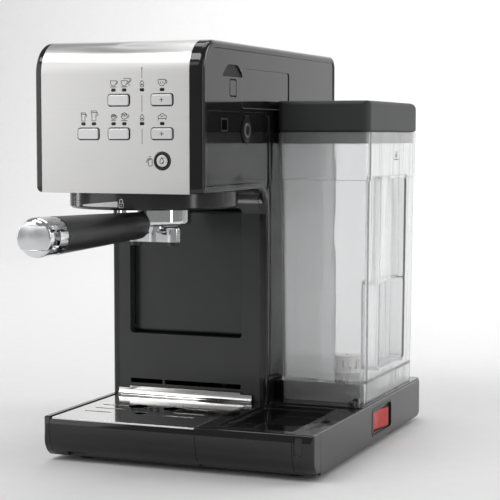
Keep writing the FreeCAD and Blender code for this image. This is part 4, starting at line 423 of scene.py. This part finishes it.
froth = [arc(-1.9, -0.2, 1.4, 230, 60), arc(0.1, 0.7, 1.7, 170, 20), arc(2.1, -0.1, 1.3, 120, -50),
         [(-3.0, -1.3), (-3.2, -2.6)], [(-2.8, -1.3), (2.8, -1.1)], [(3.0, -1.0), (2.9, -2.3)],
         arc(0, -0.3, 0.8, 180, 20)]
drop = [[(0, 2.6), (-1.5, 0.7), (-1.5, 0.2)], [(0, 2.6), (1.5, 0.7), (1.5, 0.2)], [(-1.3, 0.0), (-1.3, -2.2)],
        [(1.3, 0.0), (1.3, -2.2)], [(-0.6, -0.9), (0, 0.5), (0.6, -0.9), (-0.6, -0.9)], [(0, 0.3), (0, -0.9)],
        [(-0.7, -2.2), (0.7, -2.2)]]
jug = [[(-1.8, 1.2), (-1.2, 1.9), (1.4, 1.9), (1.9, 1.3), (1.9, -3.0), (1.4, -3.5), (-0.6, -3.5),
        (-1.2, -2.9), (-1.2, 0.2)], [(-1.2, 0.3), (-0.4, 1.2), (1.0, 1.2)],
       [(-2.9, -0.6), (-1.9, 0.9), (-1.0, 0.9)],
       [(-2.9, -0.6), (-1.7, -0.7)], [(-0.8, 3.2), (1.2, 3.2)]]
plus = [[(-1.6, 0), (1.6, 0)], [(0, -1.6), (0, 1.6)]]
rinse = [[(0, 2.6), (-1.3, 0.3), (-1.5, -0.6)], arc(0, -0.6, 1.5, 180, 360),
         [(0, 2.6), (1.3, 0.3), (1.5, -0.6)],
         arc(0.2, -0.6, 0.7, 250, 350), [(0.9, 2.5), (1.7, 1.7)]]


def middle(node):
    """The middle of a CAD node, in millimetres."""
    low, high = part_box(node)
    return (low + high) / (2 * MM)


def on_plane(strokes, face):
    """Strokes on an upright plane that faces the front."""
    return [[(x * MM, face + INK_SUNK, z * MM) for x, z in stroke] for stroke in strokes]


SIGN_UP = 12.3            # signs above the middle of their button
PAIR = 4.4                # the two lamps and signs of a button, each side of its middle
fascia_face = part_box("steel_fascia")[0].y
single, latte, cappuccino = middle("button_single_shot"), middle("button_latte"), middle("button_cappuccino")
manual, steam, clean = middle("button_manual_shot"), middle("button_froth"), middle("button_clean")
divider = (single.x + manual.x) / 2 + 1.3
signs = {
    "sign_one_shot": moved(cup, single.x - PAIR, single.z + SIGN_UP),
    "sign_two_shots": moved(cup + second_cup, single.x + PAIR, single.z + SIGN_UP),
    "sign_small_glass": moved(glass, latte.x - PAIR, latte.z + SIGN_UP + 0.2),
    "sign_large_glass": moved(glass, latte.x + PAIR, latte.z + SIGN_UP + 1.0, 1.2),
    "sign_small_froth_cup": moved(frothed_cup, cappuccino.x - PAIR, cappuccino.z + SIGN_UP, 0.85),
    "sign_large_froth_cup": moved(frothed_cup, cappuccino.x + PAIR, cappuccino.z + SIGN_UP + 0.4, 1.1),
    "sign_wide_cup": moved(wide_cup, manual.x, manual.z + SIGN_UP),
    "sign_froth": moved(froth, steam.x, steam.z + SIGN_UP),
    "sign_upper_water": moved(drop, divider, single.z + SIGN_UP - 0.6),
    "sign_lower_water": moved(drop, divider, latte.z + SIGN_UP - 0.6),
    "sign_jug": moved(jug, clean.x - 10.1, clean.z - 0.2),
}
for name, strokes in signs.items():
    printed(name, on_plane(strokes, fascia_face), dark_ink, "housing")
FINE_INK = 0.36 * MM      # half the width of a fine stroke's bead
lines = [[(divider, single.z + a), (divider, single.z + b)] for a, b in ((15.8, 23.7), (-8.8, 3.5))]
lines.append([(divider, latte.z - 7.5), (divider, latte.z + 3.7)])
printed("sign_divider", on_plane(lines, fascia_face), dark_ink, "housing", FINE_INK)

# A plus stands on both manual keys and a drop on the rinse key; they move with the keys.
for name, sign in (("button_manual_shot", plus), ("button_froth", plus), ("button_clean", rinse)):
    spot = middle(name)
    strokes = on_plane(moved(sign, spot.x, spot.z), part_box(name)[0].y)
    printed(name + "_sign", strokes, dark_ink, name)

# Light grey ink on the skirt shows where the handle locks: a closed padlock, an open one and a wedge between
# them that grows towards the closed one.
light_ink = Finish("light_ink", IOR=1.45, Roughness=0.4)
light_ink.set(**{"Base Color": light_ink.blend(light_ink.noise(700.0), grey(0.55), grey(0.70))})

skirt_low, skirt_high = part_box("group_skirt")
skirt_radius = (skirt_high.x - skirt_low.x) / 2
skirt_x, skirt_y = (skirt_low.x + skirt_high.x) / 2, skirt_low.y + skirt_radius


def round_skirt(strokes, turn):
    """Strokes wrapped round the skirt, about a place that is turn degrees from the front."""
    reach = skirt_radius - INK_SUNK
    wrapped = []
    for stroke in strokes:
        spots = []
        for across, up in stroke:
            angle = math.radians(turn) + across * MM / skirt_radius
            spots.append((skirt_x + reach * math.sin(angle), skirt_y - reach * math.cos(angle),
                          skirt_low.z + up * MM))
        wrapped.append(spots)
    return wrapped


body_of_lock = [[(-1.7, 2.0), (1.7, 2.0), (1.7, 5.4), (-1.7, 5.4), (-1.7, 2.0)], [(0, 3.1), (0, 4.3)]]
closed_lock = body_of_lock + [[(-1.1, 5.4)] + arc(0, 7.0, 1.1, 180, 0, 1.2) + [(1.1, 5.4)]]
open_lock = body_of_lock + [[(-1.1, 5.4)] + arc(0, 7.4, 1.1, 180, 0, 1.2) + [(1.1, 7.0)]]
printed("sign_closed_lock", round_skirt(closed_lock, 3.3), light_ink, "housing")
printed("sign_open_lock", round_skirt(open_lock, -37.5), light_ink, "housing")
bracket = [[(1.2, 8.6), (-0.6, 8.6), (-0.6, 2.0), (1.2, 2.0)], [(-0.6, 5.2), (0.8, 5.2)]]
printed("sign_lock_bracket", round_skirt(bracket, -43.0), light_ink, "housing")
WEDGE_FROM, WEDGE_TO = -30.0, 0.8     # degrees from the front
WEDGE_LINES, WEDGE_STEPS = 9, 24
WEDGE_FOOT = 2.6          # lower edge of the wedge above the skirt's
WEDGE_THIN, WEDGE_GROWS = 0.7, 3.0    # height at its thin end, and what it gains by the other
wedge = []
for k in range(WEDGE_LINES):
    share = k / (WEDGE_LINES - 1)
    spots = []
    for step in range(WEDGE_STEPS + 1):
        turn = WEDGE_FROM + (WEDGE_TO - WEDGE_FROM) * step / WEDGE_STEPS
        up = WEDGE_FOOT + share * (WEDGE_THIN + WEDGE_GROWS * step / WEDGE_STEPS)
        spots.append((turn * math.radians(1) * skirt_radius / MM, up))
    wedge.append(spots)
printed("sign_wedge", round_skirt(wedge, 0), light_ink, "housing")

# ------------------------------------------------------------------ water tank
# The tank is clear moulded copolymer with a slight milky haze, and its lid is dark grey, finely textured.
LIGHT_THROUGH = 0.94      # share of the light that passes the walls and casts no shadow
clear = Finish("clear_copolymer", IOR=1.49, Transmission_Weight=0.90)
streaks = clear.noise(1.0, 3.0, stretch=(55, 55, 5))
clear.set(**{"Base Color": clear.blend(streaks, grey(0.91, -0.005), grey(0.995, -0.004)),
             "Roughness": 0.02 + 0.12 * streaks,
             "Normal": clear.bump(streaks, 0.6 * MM, 0.6 * MM)})
through = clear.tree.nodes.new("ShaderNodeBsdfTransparent")
through.inputs["Color"].default_value = grey(0.97)
shade = clear.node("ShaderNodeLightPath", out="Is Shadow Ray")
mixed = clear.node("ShaderNodeMixShader", None, {0: shade * LIGHT_THROUGH,
                                                 1: Socket(clear, clear.shader.outputs[0]),
                                                 2: Socket(clear, through.outputs[0])})
clear.tree.links.new(mixed.output, clear.tree.nodes["Material Output"].inputs["Surface"])
dress(clear, "water_tank")

lid_grey = Finish("lid_grey", IOR=1.42)
grain = lid_grey.node("ShaderNodeTexVoronoi", None, {"Vector": lid_grey.place(), "Scale": 1500.0})
cloud = lid_grey.noise(35.0, 3.0)
lid_grey.set(**{"Base Color": lid_grey.blend(cloud, grey(0.034, -0.03), grey(0.046, -0.03)),
                "Roughness": 0.46 + 0.08 * cloud,
                "Normal": lid_grey.bump(grain, 0.06 * MM, SOFT_EDGE)})
dress(lid_grey, "tank_lid")

# A line and an arrow printed near the rim of the tank's outer side show how far it may be filled.
tank_low, tank_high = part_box("water_tank")
LEVEL_BACK = 77 * MM      # middle of the mark, behind the tank's front
LEVEL_DOWN = 27 * MM      # the mark's line, below the rim
DRAFT = 2.0 / 216         # how much the side leans in for each millimetre down
level = [[(-6.0, 0), (6.0, 0)], [(0, 1.2), (-3.4, 4.0), (3.4, 4.0), (0, 1.2)], [(-1.7, 3.0), (1.7, 3.0)],
         [(-1.7, 4.0), (-1.7, 6.2), (1.7, 6.2), (1.7, 4.0)]]
marks = [[(tank_high.x - DRAFT * (LEVEL_DOWN - up * MM) - INK_SUNK, tank_low.y + LEVEL_BACK + along * MM,
           tank_high.z - LEVEL_DOWN + up * MM) for along, up in stroke] for stroke in level]
printed("sign_fill_line", marks, dark_ink, "water_tank")

white = Finish("white_acetal", IOR=1.48, Roughness=0.35)
white.set(**{"Base Color": white.blend(white.noise(80.0, 3.0), grey(0.74, 0.02), grey(0.82, 0.02))})
dress(white, "tank_filter", "tank_valve", "water_pump")

# ------------------------------------------------------------------ rubber, lamps, rocker and inner parts
# Feet, gland and mounts are soft black rubber; the lamps are smoked light pipes; the rocker is a red lens.
rubber = Finish("black_rubber", IOR=1.45)
rough = rubber.noise(900.0, 4.0)
rubber.set(**{"Base Color": rubber.blend(rough, grey(0.018), grey(0.035)), "Roughness": 0.65 + 0.2 * rough,
              "Normal": rubber.bump(rough, 0.1 * MM)})
dress(rubber, "rubber_feet", "cord_gland", "pump_mounts")

smoked = Finish("smoked_lens", IOR=1.5, Roughness=0.15)
smoked.set(**{"Base Color": smoked.blend(smoked.noise(400.0), grey(0.004), grey(0.008))})
dress(smoked, "lamp_windows")

red = Finish("red_lens", IOR=1.5)
depth = red.noise(260.0, 2.0)
red.set(**{"Base Color": red.blend(depth, (0.36, 0.008, 0.004, 1), (0.55, 0.02, 0.01, 1)),
           "Roughness": 0.10 + 0.08 * depth,
           "Emission Color": red.blend(depth, (0.55, 0.01, 0.005, 1), (0.8, 0.04, 0.015, 1)),
           "Emission Strength": 0.10})
dress(red, "power_rocker")

silicone = Finish("red_silicone", IOR=1.41, Roughness=0.5)
silicone.set(**{"Base Color": silicone.blend(silicone.noise(300.0), (0.36, 0.06, 0.04, 1),
                                             (0.46, 0.10, 0.06, 1))})
dress(silicone, "head_gasket")

hose = Finish("milky_hose", IOR=1.41, Roughness=0.3)
hose.set(**{"Base Color": hose.blend(hose.noise(200.0), grey(0.62, 0.03), grey(0.74, 0.03))})
dress(hose, "inlet_hose", "pressure_hose")

cast = Finish("cast_alloy", Metallic=1.0)
pits = cast.noise(500.0, 5.0)
cast.set(**{"Base Color": cast.blend(pits, grey(0.42), grey(0.56)), "Roughness": 0.42 + 0.2 * pits,
            "Normal": cast.bump(pits, 0.1 * MM)})
dress(cast, "thermoblock", "brew_head")

zinc = Finish("zinc_plate", Metallic=1.0)
spangle = zinc.noise(300.0, 3.0)
zinc.set(**{"Base Color": zinc.blend(spangle, grey(0.48, -0.02), grey(0.62, -0.01)),
            "Roughness": 0.25 + 0.15 * spangle})
dress(zinc, "cover_screws", "handle_rod", "shelf_pins")

copper = Finish("drawn_copper", Metallic=1.0)
tarnish = copper.noise(90.0, 4.0)
copper.set(**{"Base Color": copper.blend(tarnish, (0.55, 0.28, 0.16, 1), (0.72, 0.42, 0.26, 1)),
              "Roughness": 0.2 + 0.2 * tarnish})
dress(copper, "steam_pipe")

board = Finish("solder_mask", IOR=1.5, Roughness=0.35)
board.set(**{"Base Color": board.blend(board.noise(150.0), (0.01, 0.10, 0.03, 1), (0.02, 0.16, 0.05, 1))})
dress(board, "control_board")
